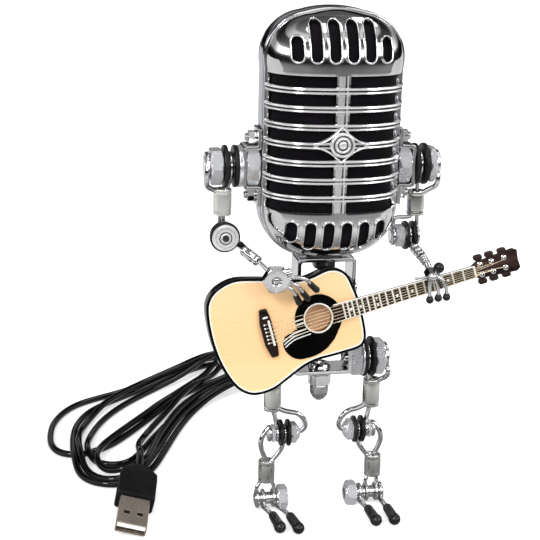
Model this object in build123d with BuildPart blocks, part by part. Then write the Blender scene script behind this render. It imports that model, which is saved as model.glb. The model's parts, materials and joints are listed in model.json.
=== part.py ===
from build123d import *
import math
import os

os.makedirs("parts", exist_ok=True)

# ------------------------------------------------------------------ dimensions
# Millimetres, +Z up, floor at z = 0.  The robot stands on its toes and ankle
# nuts, faces -Y, and its own right hand is towards -X.  Lengths below are
# written from the robot's middle plane; CX and CY carry that plane into the
# row's frame, whose origin is under the centre of the lamp's box.
CX, CY = -13.227, 2.95

# microphone head
MIC_HALF_W = 26.5          # half width of the centre hoop
MIC_BOTTOM, MIC_TOP = 106.8, 200.6
HEAD_HALF_D = 20.2         # half depth of the grille halves
HOOP_HALF_Y = 4.4          # the hoop is 8.8 mm wide
HOOP_WALL = 2.6
SHELL_WALL = 1.6
BAND_TOP, BAND_H, BAND_PITCH, BANDS = 177.1, 3.95, 6.61, 8
STRIP_W = 4.2
SLOT_X = (-16.5, -9.9, -3.3, 3.3, 9.9, 16.5)
SLOT_W = 4.2

# arm and leg joints
SHOULDER_Z, HIP_Z, KNEE_Z = 141.0, 63.1, 32.0
ANKLE_Y, ANKLE_Z = -1.5, 4.5
ELBOW_R = (-39.8, 114.8)   # x, z of the right elbow, whose bolt points forward
ELBOW_L_Z = 112.6
M8, M5, M4, M3 = 4.0, 2.5, 2.0, 1.5     # shank radii
WASHER_R = 8.0             # friction washers, 16 mm across
RUN = 0.05                 # radial running clearance of every wire eye
WIRE = 0.8                 # radius of the limb wire
LEAN = 1.5                 # the knees and shins stand this far to the left

# guitar, drawn in the plane of its soundboard
GUITAR_AT = (-5.6, -17.5, 85.6)
NECK_DIR = (0.969, 0.035, 0.247)
FACE_DIR = (0.0, -0.9907, 0.1395)
BODY_T, TOP_T, SIDE_T = 7.5, 0.9, 1.1
NECK_END, HEAD_END = 63.5, 82.5

# cable
CABLE_R = 1.5


def P(x, y, z):
    return Vector(x + CX, y + CY, z)


# ------------------------------------------------------------- shared features
def rod(a, b, r, r2=None):
    with BuildSketch(Plane(origin=a, z_dir=b - a)) as s:
        Circle(r)
    if r2 is None:
        extrude(s.sketch, amount=(b - a).length)
        return
    with BuildSketch(Plane(origin=b, z_dir=b - a)) as e:
        Circle(r2)
    loft([s.sketch, e.sketch])


def rod_hole(a, b, r):
    with BuildSketch(Plane(origin=a, z_dir=b - a)) as s:
        Circle(r)
    extrude(s.sketch, amount=(b - a).length, mode=Mode.SUBTRACT)


def ring(a, b, outer, inner):
    with BuildSketch(Plane(origin=a, z_dir=b - a)) as s:
        Circle(outer)
        Circle(inner, mode=Mode.SUBTRACT)
    extrude(s.sketch, amount=(b - a).length)


def hexagon(a, b, across_flats, bore=0.0, corner=(0, 1, 0)):
    with BuildSketch(Plane(origin=a, x_dir=corner, z_dir=b - a)) as s:
        RegularPolygon(across_flats / 2, 6, major_radius=False)
        if bore:
            Circle(bore, mode=Mode.SUBTRACT)
    extrude(s.sketch, amount=(b - a).length)


def ball(c, r):
    with Locations(c):
        Sphere(r)


def wire(points, r, bend):
    with BuildLine() as path:
        if len(points) > 2:
            FilletPolyline(*points, radius=bend)
        else:
            Line(*points)
    with BuildSketch(Plane(origin=points[0], z_dir=points[1] - points[0])) as s:
        Circle(r)
    sweep(s.sketch, path=path.line)


def finish(part, name):
    part.part.label = name
    export_step(part.part, f"parts/{name}.step")


# -------------------------------------------------------------- microphone head
def head_face(inset):
    """The head's front outline as a full face in the XZ plane."""
    with BuildSketch(Plane.XZ) as face:
        with BuildLine():
            Line((0, MIC_BOTTOM), (9.0, MIC_BOTTOM))
            ThreePointArc((9.0, MIC_BOTTOM), (21.2, 112.6), (MIC_HALF_W, 126.0))
            Line((MIC_HALF_W, 126.0), (MIC_HALF_W, 178.0))
            ThreePointArc((MIC_HALF_W, 178.0), (23.2, 192.4), (12.0, 198.9))
            ThreePointArc((12.0, 198.9), (6.0, 200.2), (0, MIC_TOP))
            Line((0, MIC_TOP), (0, MIC_BOTTOM))
        make_face()
        mirror(about=Plane.YZ)
        if inset:
            offset(amount=-inset)
    return face.sketch


def head_solid(inset):
    """The head as the meeting of its front, side and plan outlines."""
    with BuildPart() as solid:
        extrude(head_face(inset), amount=30, both=True)
        with BuildSketch(Plane.XY.offset(100)) as plan:
            with BuildLine():
                Line((25.9, 0), (25.9, 4.0))
                ThreePointArc((25.9, 4.0), (23.4, 11.6), (16.8, 17.0))
                ThreePointArc((16.8, 17.0), (0, HEAD_HALF_D), (-16.8, 17.0))
                ThreePointArc((-16.8, 17.0), (-23.4, 11.6), (-25.9, 4.0))
                Line((-25.9, 4.0), (-25.9, 0))
                Line((-25.9, 0), (25.9, 0))
            make_face()
            mirror(about=Plane.XZ)
            offset(amount=0.6 - inset)
        extrude(plan.sketch, amount=110, mode=Mode.INTERSECT)
        with BuildSketch(Plane.YZ) as side:
            with BuildLine():
                Line((0, MIC_BOTTOM), (6.0, MIC_BOTTOM))
                ThreePointArc((6.0, MIC_BOTTOM), (15.8, 111.6), (HEAD_HALF_D, 122.0))
                Line((HEAD_HALF_D, 122.0), (HEAD_HALF_D, 180.0))
                ThreePointArc((HEAD_HALF_D, 180.0), (14.6, 194.4), (0, MIC_TOP))
                Line((0, MIC_TOP), (0, MIC_BOTTOM))
            make_face()
            mirror(about=Plane.YZ)
            offset(amount=0.6 - inset)
        extrude(side.sketch, amount=40, both=True, mode=Mode.INTERSECT)
    return solid.part


shell_out, shell_in = head_solid(0.6), head_solid(0.6 + SHELL_WALL)
liner_out, liner_in = head_solid(2.35), head_solid(3.05)


def slot(x, z0, z1, width, side):
    """One round-ended slot through the wall on the front or rear half."""
    at = Plane(origin=P(x, side * 6.4, (z0 + z1) / 2), x_dir=(0, 0, 1), z_dir=(0, side, 0))
    with BuildSketch(at) as s:
        SlotOverall(z1 - z0, width)
    extrude(s.sketch, amount=30, mode=Mode.SUBTRACT)


def grille(side):
    """Half shell with its bands and slots; side is -1 for the front."""
    with Locations(P(0, 0, 0)):
        add(shell_out)
        add(shell_in, mode=Mode.SUBTRACT)
    with Locations(P(0, side * (HOOP_HALF_Y + 0.1 + 20), 153)):
        Box(70, 40, 120, mode=Mode.INTERSECT)
    for i in range(BANDS):
        z = BAND_TOP - BAND_H / 2 - i * BAND_PITCH
        for s in (-1, 1):
            with Locations(P(s * (STRIP_W / 2 + 15), side * (6.4 + 15), z)):
                Box(30, 30, BAND_H, mode=Mode.SUBTRACT)
    for x in SLOT_X:
        slot(x, 181.9, 190.8 if abs(x) > 12 else 196.6, SLOT_W, side)
        slot(x * 1.03, 115.0 if abs(x) > 12 else 112.2, 123.2, SLOT_W, side)


with BuildPart() as mic_front_grille:
    grille(-1)
finish(mic_front_grille, "mic_front_grille")

# two clearance holes for the screws that hold the rear half
with BuildPart() as mic_rear_grille:
    grille(1)
    for x in (-6.6, 6.6):
        with BuildSketch(Plane(origin=P(x, 8, 179.4), x_dir=(1, 0, 0), z_dir=(0, 1, 0))) as hole:
            Circle(M3 + 0.1)
        extrude(hole.sketch, amount=20, mode=Mode.SUBTRACT)
finish(mic_rear_grille, "mic_rear_grille")

hoop_out, hoop_in = head_face(0), head_face(HOOP_WALL)
with BuildPart() as mic_centre_hoop:
    with Locations(P(0, 0, 0)):
        add(extrude(hoop_out, amount=HOOP_HALF_Y, both=True, mode=Mode.PRIVATE))
        add(extrude(hoop_in, amount=HOOP_HALF_Y + 1, both=True, mode=Mode.PRIVATE), mode=Mode.SUBTRACT)
    # a lug across the top carries the rear half's two screws
    with Locations(P(0, 1.0, 179.4)):
        Box(2 * (MIC_HALF_W - HOOP_WALL) + 0.4, 3.0, 5.0)
    for x in (-6.6, 6.6):
        with BuildSketch(Plane(origin=P(x, -2, 179.4), x_dir=(1, 0, 0), z_dir=(0, 1, 0))) as hole:
            Circle(M3)
        extrude(hole.sketch, amount=6, mode=Mode.SUBTRACT)
    # hole for the hollow neck tube and four tapped holes for the shoulder brackets
    with BuildSketch(Plane(origin=P(0, 0, 104), z_dir=(0, 0, 1))) as hole:
        Circle(2.65)
    extrude(hole.sketch, amount=8, mode=Mode.SUBTRACT)
    for s in (-1, 1):
        for dz in (-11, 11):
            with BuildSketch(Plane(origin=P(s * 23, 0, SHOULDER_Z + dz), z_dir=(s, 0, 0))) as hole:
                Circle(M3)
            extrude(hole.sketch, amount=5, mode=Mode.SUBTRACT)
finish(mic_centre_hoop, "mic_centre_hoop")

# black cloth behind the openings, front and rear
with BuildPart() as grille_liners:
    with Locations(P(0, 0, 0)):
        add(liner_out)
        add(liner_in, mode=Mode.SUBTRACT)
    with Locations(P(0, 0, 153)):
        Box(70, 2 * (HOOP_HALF_Y + 0.2), 120, mode=Mode.SUBTRACT)
    for x in (-6.6, 6.6):
        with BuildSketch(Plane(origin=P(x, 8, 179.4), x_dir=(1, 0, 0), z_dir=(0, 1, 0))) as hole:
            Circle(M3 + 0.3)
        extrude(hole.sketch, amount=20, mode=Mode.SUBTRACT)
finish(grille_liners, "grille_liners")

# plain badge: a diamond plate with a ringed round boss
with BuildPart() as grille_badge:
    with BuildSketch(Plane(origin=P(0, -20.2, 152.4), x_dir=(1, 0, 0), z_dir=(0, -1, 0))) as s:
        with BuildLine():
            Polyline((-6.9, 0), (-1.9, 6.1), (1.9, 6.1), (6.9, 0), (1.9, -6.1), (-1.9, -6.1), close=True)
        make_face()
        fillet(s.vertices(), 1.2)
    extrude(s.sketch, amount=1.1)
    with BuildSketch(Plane(origin=P(0, -21.28, 152.4), x_dir=(1, 0, 0), z_dir=(0, -1, 0))) as b:
        Circle(3.9)
    extrude(b.sketch, amount=1.2)
    with BuildSketch(Plane(origin=P(0, -22.5, 152.4), x_dir=(1, 0, 0), z_dir=(0, 1, 0))) as g:
        Circle(3.1)
        Circle(2.3, mode=Mode.SUBTRACT)
    extrude(g.sketch, amount=0.6, mode=Mode.SUBTRACT)
finish(grille_badge, "grille_badge")

# chassis plate on the hoop's floor, with the lamp holder, bulb and dimmer
with BuildPart() as lamp_chassis:
    with Locations(P(0, 0, 117.75)):
        Box(32, 8.4, 1.5)
    for s in (-1, 1):
        with Locations(P(s * 10.5, 0, 113.25)):
            Box(1.5, 8.0, 7.6)
    with Locations(P(0, 0, 117.75)):
        Hole(1.6, depth=4)
    add(mic_centre_hoop.part, mode=Mode.SUBTRACT)
    # the lead to the dimmer passes one leg and the plate
    rod_hole(P(-9.0, 0, 115.0), P(-12.0, 0, 115.0), 0.8)
    rod_hole(P(-12.8, 0, 116.0), P(-12.8, 0, 119.0), 0.8)
finish(lamp_chassis, "lamp_chassis")

with BuildPart() as lamp_holder:
    rod(P(0, 0, 118.5), P(0, 0, 138), 8.5)
    rod(P(0, 0, 138), P(0, 0, 141), 9.6)
    with BuildSketch(Plane(origin=P(0, 0, 122), z_dir=(0, 0, 1))) as hole:
        Circle(7.0)
    extrude(hole.sketch, amount=30, mode=Mode.SUBTRACT)
    with BuildSketch(Plane(origin=P(0, 0, 117), z_dir=(0, 0, 1))) as hole:
        Circle(1.6)
    extrude(hole.sketch, amount=10, mode=Mode.SUBTRACT)
finish(lamp_holder, "lamp_holder")

with BuildPart() as led_bulb:
    with BuildSketch(Plane.XZ):
        with BuildLine():
            Polyline((0, 124), (4.5, 124), (6.9, 127), (6.9, 141.4), (7.6, 145))
            Spline((7.6, 145), (12.2, 156), (11.2, 166), (0, 172), tangents=[(0.25, 1), (-1, 0)])
            Line((0, 172), (0, 124))
        make_face()
    revolve(axis=Axis.Z)
with BuildPart() as led_bulb_placed:
    with Locations(P(0, 0, 0)):
        add(led_bulb.part)
finish(led_bulb_placed, "led_bulb")

with BuildPart() as touch_dimmer_board:
    with Locations(P(-14.6, 0, 132)):
        Box(1.2, 8.0, 20)
    with Locations(P(-13.2, 0, 136)):
        Box(1.6, 4.0, 5.0)
    with Locations(P(-13.3, 0, 128)):
        Box(1.4, 3.0, 3.0)
    with Locations(P(-14.6, 0, 120.5)):
        Box(1.2, 8.0, 4.0)
finish(touch_dimmer_board, "touch_dimmer_board")

with BuildPart() as inner_leads:
    wire([P(0, 0, 98.2), P(0, 0, 114.2), P(-6.0, 0, 116.0)], 0.9, 1.5)
    wire([P(-5.6, 0, 115.9), P(-8.0, 0, 115.0), P(-12.8, 0, 115.0), P(-12.8, 0, 119.6), P(-14.0, 0, 121.2)], 0.6, 1.0)
    wire([P(-8.5, 0, 126.0), P(-14.5, 0, 126.0)], 0.5, 1.0)
    add(touch_dimmer_board.part, mode=Mode.SUBTRACT)
finish(inner_leads, "inner_leads")

# ---------------------------------------------------------------- neck and torso
with BuildPart() as neck_tube:
    ring(P(0, 0, 98.2), P(0, 0, 113.6), 2.6, 1.5)
finish(neck_tube, "neck_tube")

with BuildPart() as neck_nuts:
    hexagon(P(0, 0, 100.6), P(0, 0, 104.0), 8.0, 2.6)
    hexagon(P(0, 0, 109.5), P(0, 0, 112.4), 8.0, 2.6)
    ring(P(0, 0, 105.6), P(0, 0, 106.75), 7.0, 2.65)
finish(neck_nuts, "neck_nuts")

FRAME_X, STRAP, FRAME_Y = 11.6, 1.5, 6.0
with BuildPart() as neck_bracket:
    with Locations(P(0, 0, 104.85)):
        Box(2 * FRAME_X, 2 * FRAME_Y, STRAP)
    for s in (-1, 1):
        with Locations(P(s * (FRAME_X - STRAP / 2), 0, 89.8)):
            Box(STRAP, 2 * FRAME_Y, 31.6)
    fillet(neck_bracket.edges().filter_by(Axis.Y).group_by(Axis.Z)[-1], 1.4)
    with BuildSketch(Plane(origin=P(0, 0, 100), z_dir=(0, 0, 1))) as hole:
        Circle(2.65)
    extrude(hole.sketch, amount=8, mode=Mode.SUBTRACT)
    for z in (79.0, 92.0):
        with BuildSketch(Plane(origin=P(-15, 0, z), z_dir=(1, 0, 0))) as hole:
            Circle(M3)
        extrude(hole.sketch, amount=30, mode=Mode.SUBTRACT)
finish(neck_bracket, "neck_bracket")

with BuildPart() as pelvis_bracket:
    with Locations(P(0, 0, 58.9)):
        Box(2 * FRAME_X, 2 * FRAME_Y, STRAP)
    for s in (-1, 1):
        with Locations(P(s * (FRAME_X - STRAP / 2), 0, 66.15)):
            Box(STRAP, 2 * FRAME_Y, 15.6)
        with Locations(P(s * (FRAME_X - STRAP - STRAP / 2), 0, 77.3)):
            Box(STRAP, 2 * FRAME_Y, 10.0)
        with Locations(P(s * (FRAME_X - STRAP), 0, 73.15)):
            Box(2 * STRAP, 2 * FRAME_Y, 1.6)
    fillet(pelvis_bracket.edges().filter_by(Axis.Y).group_by(Axis.Z)[0], 1.4)
    with BuildSketch(Plane(origin=P(0, 0, 57), z_dir=(0, 0, 1))) as hole:
        Circle(M5)
    extrude(hole.sketch, amount=4, mode=Mode.SUBTRACT)
    for z, r in ((79.0, M3), (HIP_Z, 2.5)):
        with BuildSketch(Plane(origin=P(-15, 0, z), z_dir=(1, 0, 0))) as hole:
            Circle(r)
        extrude(hole.sketch, amount=30, mode=Mode.SUBTRACT)
finish(pelvis_bracket, "pelvis_bracket")

with BuildPart() as pelvis_acorn_bolt:
    rod(P(0, 0, 53.2), P(0, 0, 59.65), M5)
    rod(P(0, 0, 59.65), P(0, 0, 61.6), 4.3, 3.4)
    ring(P(0, 0, 57.15), P(0, 0, 58.15), 5.0, M5)
    hexagon(P(0, 0, 52.6), P(0, 0, 57.15), 8.0, 0, corner=(1, 0, 0))
    rod(P(0, 0, 49.0), P(0, 0, 52.6), 3.7)
    ball(P(0, 0, 49.0), 3.7)
finish(pelvis_acorn_bolt, "pelvis_acorn_bolt")

# screws: four on the shoulder brackets, four in the frame, two in the head's
# rear half and two in the back of the guitar
G = Plane(origin=P(*GUITAR_AT), x_dir=NECK_DIR, z_dir=FACE_DIR)


def g(u, v, h):
    """A point u along the neck, v across it and h in front of the soundboard."""
    return G.from_local_coords(Vector(u, v, h))


BACK = -(BODY_T + TOP_T * 0)
with BuildPart() as m3_screws:
    for s in (-1, 1):
        for dz in (-11, 11):
            z = SHOULDER_Z + dz
            rod(P(s * 23.9, 0, z), P(s * 27.9, 0, z), M3)
            ring(P(s * 27.9, 0, z), P(s * 28.6, 0, z), 2.65, M3)
            rod(P(s * 27.9, 0, z), P(s * 32.2, 0, z), 2.4)
        rod(P(s * 7.6, 0, 79.0), P(s * 11.6, 0, 79.0), M3)
        rod(P(s * 11.6, 0, 79.0), P(s * 13.6, 0, 79.0), 2.7)
        rod(P(s * 7.6, 0, 92.0), P(s * 11.6, 0, 92.0), M3)
        rod(P(s * 11.6, 0, 92.0), P(s * 13.6, 0, 92.0), 2.7)
        rod(P(s * 6.6, -0.5, 179.4), P(s * 6.6, 20.2, 179.4), M3)
        rod(P(s * 6.6, 20.2, 179.4), P(s * 6.6, 21.6, 179.4), 2.7)
    for v in (-3.5, 3.5):
        rod(g(6.0, v, -5.6), g(6.0, v, -8.7), M3 - 0.3)
        rod(g(6.0, v, -8.7), g(6.0, v, -10.2), 2.2)
finish(m3_screws, "m3_screws")

# channel between the frame's legs that carries the guitar: a web against its
# back and two tabs inside the legs
with BuildPart() as guitar_bracket:
    web = Plane(origin=g(6.0, 2.0, -BODY_T), x_dir=(1, 0, 0), z_dir=-G.z_dir)
    with BuildSketch(web) as s:
        Rectangle(20.0, 17.0)
    extrude(s.sketch, amount=1.2)
    for s in (-1, 1):
        with Locations(P(s * 9.3, -2.1, 91.0)):
            Box(1.5, 12.2, 9.0)
    with BuildSketch(Plane(origin=P(-15, 0, 92.0), z_dir=(1, 0, 0))) as hole:
        Circle(M3)
    extrude(hole.sketch, amount=30, mode=Mode.SUBTRACT)
    for v in (-3.5, 3.5):
        with BuildSketch(Plane(origin=g(6.0, v, -5), z_dir=g(0, 0, -1) - g(0, 0, 0))) as hole:
            Circle(M3 - 0.3)
        extrude(hole.sketch, amount=6, mode=Mode.SUBTRACT)
finish(guitar_bracket, "guitar_bracket")

# ------------------------------------------------------- shoulder and hip joints
with BuildPart() as shoulder_brackets:
    for s in (-1, 1):
        with BuildSketch(Plane(origin=P(0, -5.5, SHOULDER_Z), x_dir=(s, 0, 0), z_dir=(0, 1, 0))) as hat:
            with BuildLine():
                Polyline(
                    (26.5, 14.7), (27.9, 14.7), (27.9, 8.3), (33.4, 8.3), (33.4, -8.3), (27.9, -8.3),
                    (27.9, -14.7), (26.5, -14.7), (26.5, -6.9), (32.0, -6.9), (32.0, 6.9), (26.5, 6.9),
                    close=True,
                )
            make_face()
        extrude(hat.sketch, amount=11.0)
        with BuildSketch(Plane(origin=P(s * 31, 0, SHOULDER_Z), z_dir=(s, 0, 0))) as hole:
            Circle(M8)
        extrude(hole.sketch, amount=4, mode=Mode.SUBTRACT)
        for dz in (-11, 11):
            with BuildSketch(Plane(origin=P(s * 26, 0, SHOULDER_Z + dz), z_dir=(s, 0, 0))) as hole:
                Circle(M3)
            extrude(hole.sketch, amount=4, mode=Mode.SUBTRACT)
finish(shoulder_brackets, "shoulder_brackets")

# positions along each joint's bolt, counted outwards from the middle plane
R_SHOULDER = dict(steel=(33.4, 35.0), rub1=(35.0, 37.0), eye=(37.05, 38.65), rub2=(38.7, 40.7), nut=(40.7, 45.5), ring=(45.6, 47.2), end=47.5)
L_SHOULDER = dict(steel=None, rub1=(33.4, 35.4), eye=(35.45, 37.05), rub2=(37.1, 39.1), nut=(39.1, 42.0), ring=(42.1, 43.6), end=43.9)
R_HIP = dict(rub1=(16.7, 18.6), eye=(18.65, 20.25), rub2=(20.3, 22.2), nut=(22.2, 26.1), ring=(26.15, 27.7), end=27.9)
L_HIP = R_HIP

with BuildPart() as shoulder_bolts:
    for s, k in ((-1, R_SHOULDER), (1, L_SHOULDER)):
        hexagon(P(s * 26.75, 0, SHOULDER_Z), P(s * 32.0, 0, SHOULDER_Z), 13.0, corner=(0, 1, 0))
        rod(P(s * 31.9, 0, SHOULDER_Z), P(s * k["end"], 0, SHOULDER_Z), M8)
finish(shoulder_bolts, "shoulder_bolts")

with BuildPart() as hip_studs:
    for s in (-1, 1):
        rod(P(s * 9.1, 0, HIP_Z), P(s * 10.1, 0, HIP_Z), 3.2)
        rod(P(s * 10.0, 0, HIP_Z), P(s * 11.7, 0, HIP_Z), 2.5)
        rod(P(s * 11.6, 0, HIP_Z), P(s * R_HIP["end"], 0, HIP_Z), M8)
finish(hip_studs, "hip_studs")

with BuildPart() as m8_nuts:
    for s, k in ((-1, R_SHOULDER), (1, L_SHOULDER)):
        hexagon(P(s * k["nut"][0], 0, SHOULDER_Z), P(s * k["nut"][1], 0, SHOULDER_Z), 13.0, M8, corner=(0, 1, 0))
        hexagon(P(s * R_HIP["nut"][0], 0, HIP_Z), P(s * R_HIP["nut"][1], 0, HIP_Z), 13.0, M8, corner=(0, 1, 0))
        hexagon(P(s * 11.6, 0, HIP_Z), P(s * 16.1, 0, HIP_Z), 13.0, M8, corner=(0, 1, 0))
        ring(P(s * 16.1, 0, HIP_Z), P(s * 16.7, 0, HIP_Z), 7.6, M8)
    ring(P(-35.0, 0, SHOULDER_Z), P(-33.4, 0, SHOULDER_Z), WASHER_R, M8)
finish(m8_nuts, "m8_nuts")

with BuildPart() as friction_washers:
    for s, k, z in ((-1, R_SHOULDER, SHOULDER_Z), (1, L_SHOULDER, SHOULDER_Z), (-1, R_HIP, HIP_Z), (1, L_HIP, HIP_Z)):
        for name in ("rub1", "rub2"):
            ring(P(s * k[name][0], 0, z), P(s * k[name][1], 0, z), WASHER_R, M8)
finish(friction_washers, "friction_washers")


# ------------------------------------------------------------------------ limbs
def eye(s, xs, y, z, bolt, wall=1.6):
    """Flat wire eye round a bolt that runs along X."""
    ring(P(s * xs[0], y, z), P(s * xs[1], y, z), bolt + RUN + wall, bolt + RUN)


def mid(pair):
    return (pair[0] + pair[1]) / 2


# right upper arm: crimped barrel, eye and bow at the shoulder, eye at the elbow
with BuildPart() as right_upper_arm:
    k = R_SHOULDER
    rod(P(-40.2, 0, 122.4), P(-40.2, 0, 132.6), 3.5)
    eye(-1, k["eye"], 0, SHOULDER_Z, M8)
    eye(-1, k["ring"], 0, SHOULDER_Z, M8)
    rod(P(-mid(k["eye"]), 0, SHOULDER_Z - 4.7), P(-mid(k["eye"]), 0, 131.6), 0.78)
    wire([P(-46.4, -4.8, 141.0), P(-47.6, -4.6, 136.6), P(-46.2, -2.6, 133.4), P(-42.0, 0, 130.6)], WIRE, 1.2)
    ring(P(ELBOW_R[0], -1.0, ELBOW_R[1]), P(ELBOW_R[0], 0.6, ELBOW_R[1]), M4 + RUN + 1.5, M4)
    rod(P(-39.8, -0.2, ELBOW_R[1] + 2.6), P(-40.2, -0.1, 123.0), WIRE)
finish(right_upper_arm, "right_upper_arm")

with BuildPart() as right_elbow_bolt:
    x, z = ELBOW_R
    rod(P(x, -7.6, z), P(x, 3.4, z), M4)
    ring(P(x, -7.0, z), P(x, -5.4, z), 5.5, M4 - 0.5)
    hexagon(P(x, 0.65, z), P(x, 2.8, z), 7.0, M4 - 0.5, corner=(1, 0, 0))
    with BuildSketch(Plane(origin=P(x, -7.7, z), z_dir=(0, 1, 0))) as socket:
        RegularPolygon(1.1, 6)
    extrude(socket.sketch, amount=1.4, mode=Mode.SUBTRACT)
finish(right_elbow_bolt, "right_elbow_bolt")

with BuildPart() as right_elbow_washers:
    x, z = ELBOW_R
    ring(P(x, -5.4, z), P(x, -4.0, z), 5.5, M4)
    ring(P(x, -2.3, z), P(x, -1.0, z), 5.2, M4)
finish(right_elbow_washers, "right_elbow_washers")

with BuildPart() as right_finger_tips:
    for a, b in (((-10.0, -19.5, 99.7), (-7.2, -19.2, 97.6)), ((-12.7, -19.7, 96.5), (-10.6, -19.4, 94.4)), ((-15.4, -20.0, 95.4), (-13.9, -19.6, 93.0))):
        rod(P(*a), P(*b), 1.25)
        ball(P(*b), 1.25)
finish(right_finger_tips, "right_finger_tips")

with BuildPart() as right_forearm:
    x, z = ELBOW_R
    ring(P(x, -3.95, z), P(x, -2.35, z), M4 + RUN + 1.5, M4 + RUN)
    wire([P(x + 2.2, -3.15, z - 1.5), P(-33.9, -3.15, 110.9), P(-33.0, -9.0, 110.3)], 0.78, 1.2)
    rod(P(-33.2, -8.2, 110.4), P(-28.6, -13.2, 107.4), 1.9)
    wire([P(-29.0, -12.8, 107.7), P(-27.0, -16.4, 106.4), P(-24.6, -20.2, 103.4)], 0.7, 1.0)
    # palm: a nut with three bent finger wires
    hexagon(P(-22.6, -17.9, 102.2), P(-23.0, -22.2, 101.6), 9.0, corner=(1, 0, 0))
    rod(P(-22.0, -20.6, 103.6), P(-17.6, -20.4, 104.6), 1.7)
    wire([P(-20.0, -20.4, 102.4), P(-13.0, -20.2, 101.8), P(-9.6, -19.4, 99.4)], 0.7, 1.5)
    wire([P(-20.0, -20.4, 100.6), P(-15.0, -20.6, 98.7), P(-12.4, -19.6, 96.2)], 0.7, 1.5)
    wire([P(-21.0, -20.4, 99.2), P(-17.4, -20.4, 98.0), P(-14.7, -19.8, 94.8)], 0.7, 1.2)
    add(right_finger_tips.part, mode=Mode.SUBTRACT)
finish(right_forearm, "right_forearm")

# left upper arm: the fork at the elbow straddles nut and washers
LE = dict(inner=(26.3, 27.7), nut=(27.8, 31.5), rub1=(31.5, 32.9), eye=(32.95, 34.45), rub2=(34.5, 35.9), outer=(36.0, 37.4))
with BuildPart() as left_upper_arm:
    k = L_SHOULDER
    rod(P(35.7, 0, 120.9), P(35.7, 0, 130.6), 3.4)
    eye(1, k["eye"], 0, SHOULDER_Z, M8)
    eye(1, k["ring"], 0, SHOULDER_Z, M8)
    rod(P(mid(k["eye"]), 0, SHOULDER_Z - 4.7), P(mid(k["eye"]), 0, 130.6), 0.78)
    wire([P(42.85, 0, 136.6), P(42.85, 0, 132.0), P(39.0, 0, 130.6), P(37.0, 0, 128.4)], WIRE, 0.9)
    eye(1, LE["inner"], 0, ELBOW_L_Z, M5, 1.4)
    eye(1, LE["outer"], 0, ELBOW_L_Z, M5, 1.4)
    rod(P(mid(LE["outer"]), 0, ELBOW_L_Z + 3.2), P(mid(LE["outer"]), 0, 121.4), 0.7)
    wire([P(27.0, 0, ELBOW_L_Z + 3.2), P(27.0, 0, 119.8), P(34.4, 0, 119.6), P(34.6, 0, 121.6)], 0.7, 0.9)
finish(left_upper_arm, "left_upper_arm")

with BuildPart() as left_elbow_bolt:
    rod(P(26.1, 0, ELBOW_L_Z), P(37.6, 0, ELBOW_L_Z), M5 - 0.02)
    hexagon(P(LE["nut"][0], 0, ELBOW_L_Z), P(LE["nut"][1], 0, ELBOW_L_Z), 8.0, M5 - 0.3, corner=(0, 1, 0))
finish(left_elbow_bolt, "left_elbow_bolt")

with BuildPart() as left_elbow_washers:
    for name in ("rub1", "rub2"):
        ring(P(LE[name][0], 0, ELBOW_L_Z), P(LE[name][1], 0, ELBOW_L_Z), 5.6, M5)
finish(left_elbow_washers, "left_elbow_washers")

with BuildPart() as left_finger_tips:
    ball(P(39.8, -20.6, 104.9), 2.1)
    for c in ((37.1, -20.2, 92.2), (40.4, -20.2, 92.8), (43.7, -20.2, 93.1)):
        ball(P(*c), 1.45)
finish(left_finger_tips, "left_finger_tips")

with BuildPart() as left_forearm:
    eye(1, LE["eye"], 0, ELBOW_L_Z, M5, 1.5)
    wire([P(33.7, -2.6, ELBOW_L_Z - 1.6), P(33.7, -5.4, 109.4), P(34.9, -7.6, 107.9)], 0.74, 0.9)
    rod(P(34.3, -5.4, 109.1), P(36.0, -10.6, 106.8), 1.9)
    rod(P(36.0, -10.6, 106.8), P(36.8, -15.4, 105.0), 1.1)
    ring(P(36.2, -12.2, 106.2), P(36.4, -13.2, 105.8), 1.9, 0.9)
    rod(P(36.8, -15.2, 105.0), P(37.2, -20.2, 101.9), 1.3)
    ball(P(37.3, -20.3, 101.6), 1.7)
    wire([P(37.3, -20.3, 101.8), P(39.6, -20.6, 101.8), P(39.8, -20.6, 103.6)], 0.6, 0.7)
    for a, b, c in (((37.0, -20.4, 101.4), (36.4, -20.4, 98.4), (37.1, -20.2, 93.0)), ((37.6, -20.5, 101.2), (39.6, -20.4, 99.2), (40.4, -20.2, 93.6)), ((37.8, -20.4, 101.6), (42.4, -20.4, 100.4), (43.7, -20.2, 93.9))):
        wire([P(*a), P(*b), P(*c)], 0.6, 1.2)
    rod(P(36.8, -20.3, 101.2), P(31.0, -20.0, 100.7), 0.5)
    add(left_finger_tips.part, mode=Mode.SUBTRACT)
finish(left_forearm, "left_forearm")

# legs; s is -1 for the right leg.  Positions are counted outwards from the
# leg's own middle plane, which stands LEAN to the left below the knee.
KN = dict(nut=(8.2, 13.0), rub1=(13.0, 14.4), eye=(14.45, 15.95), rub2=(16.0, 17.4), outer=(17.5, 19.0), head=(19.1, 20.5), bow=(20.6, 22.1))


def kx(s, x):
    return s * x + LEAN


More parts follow.
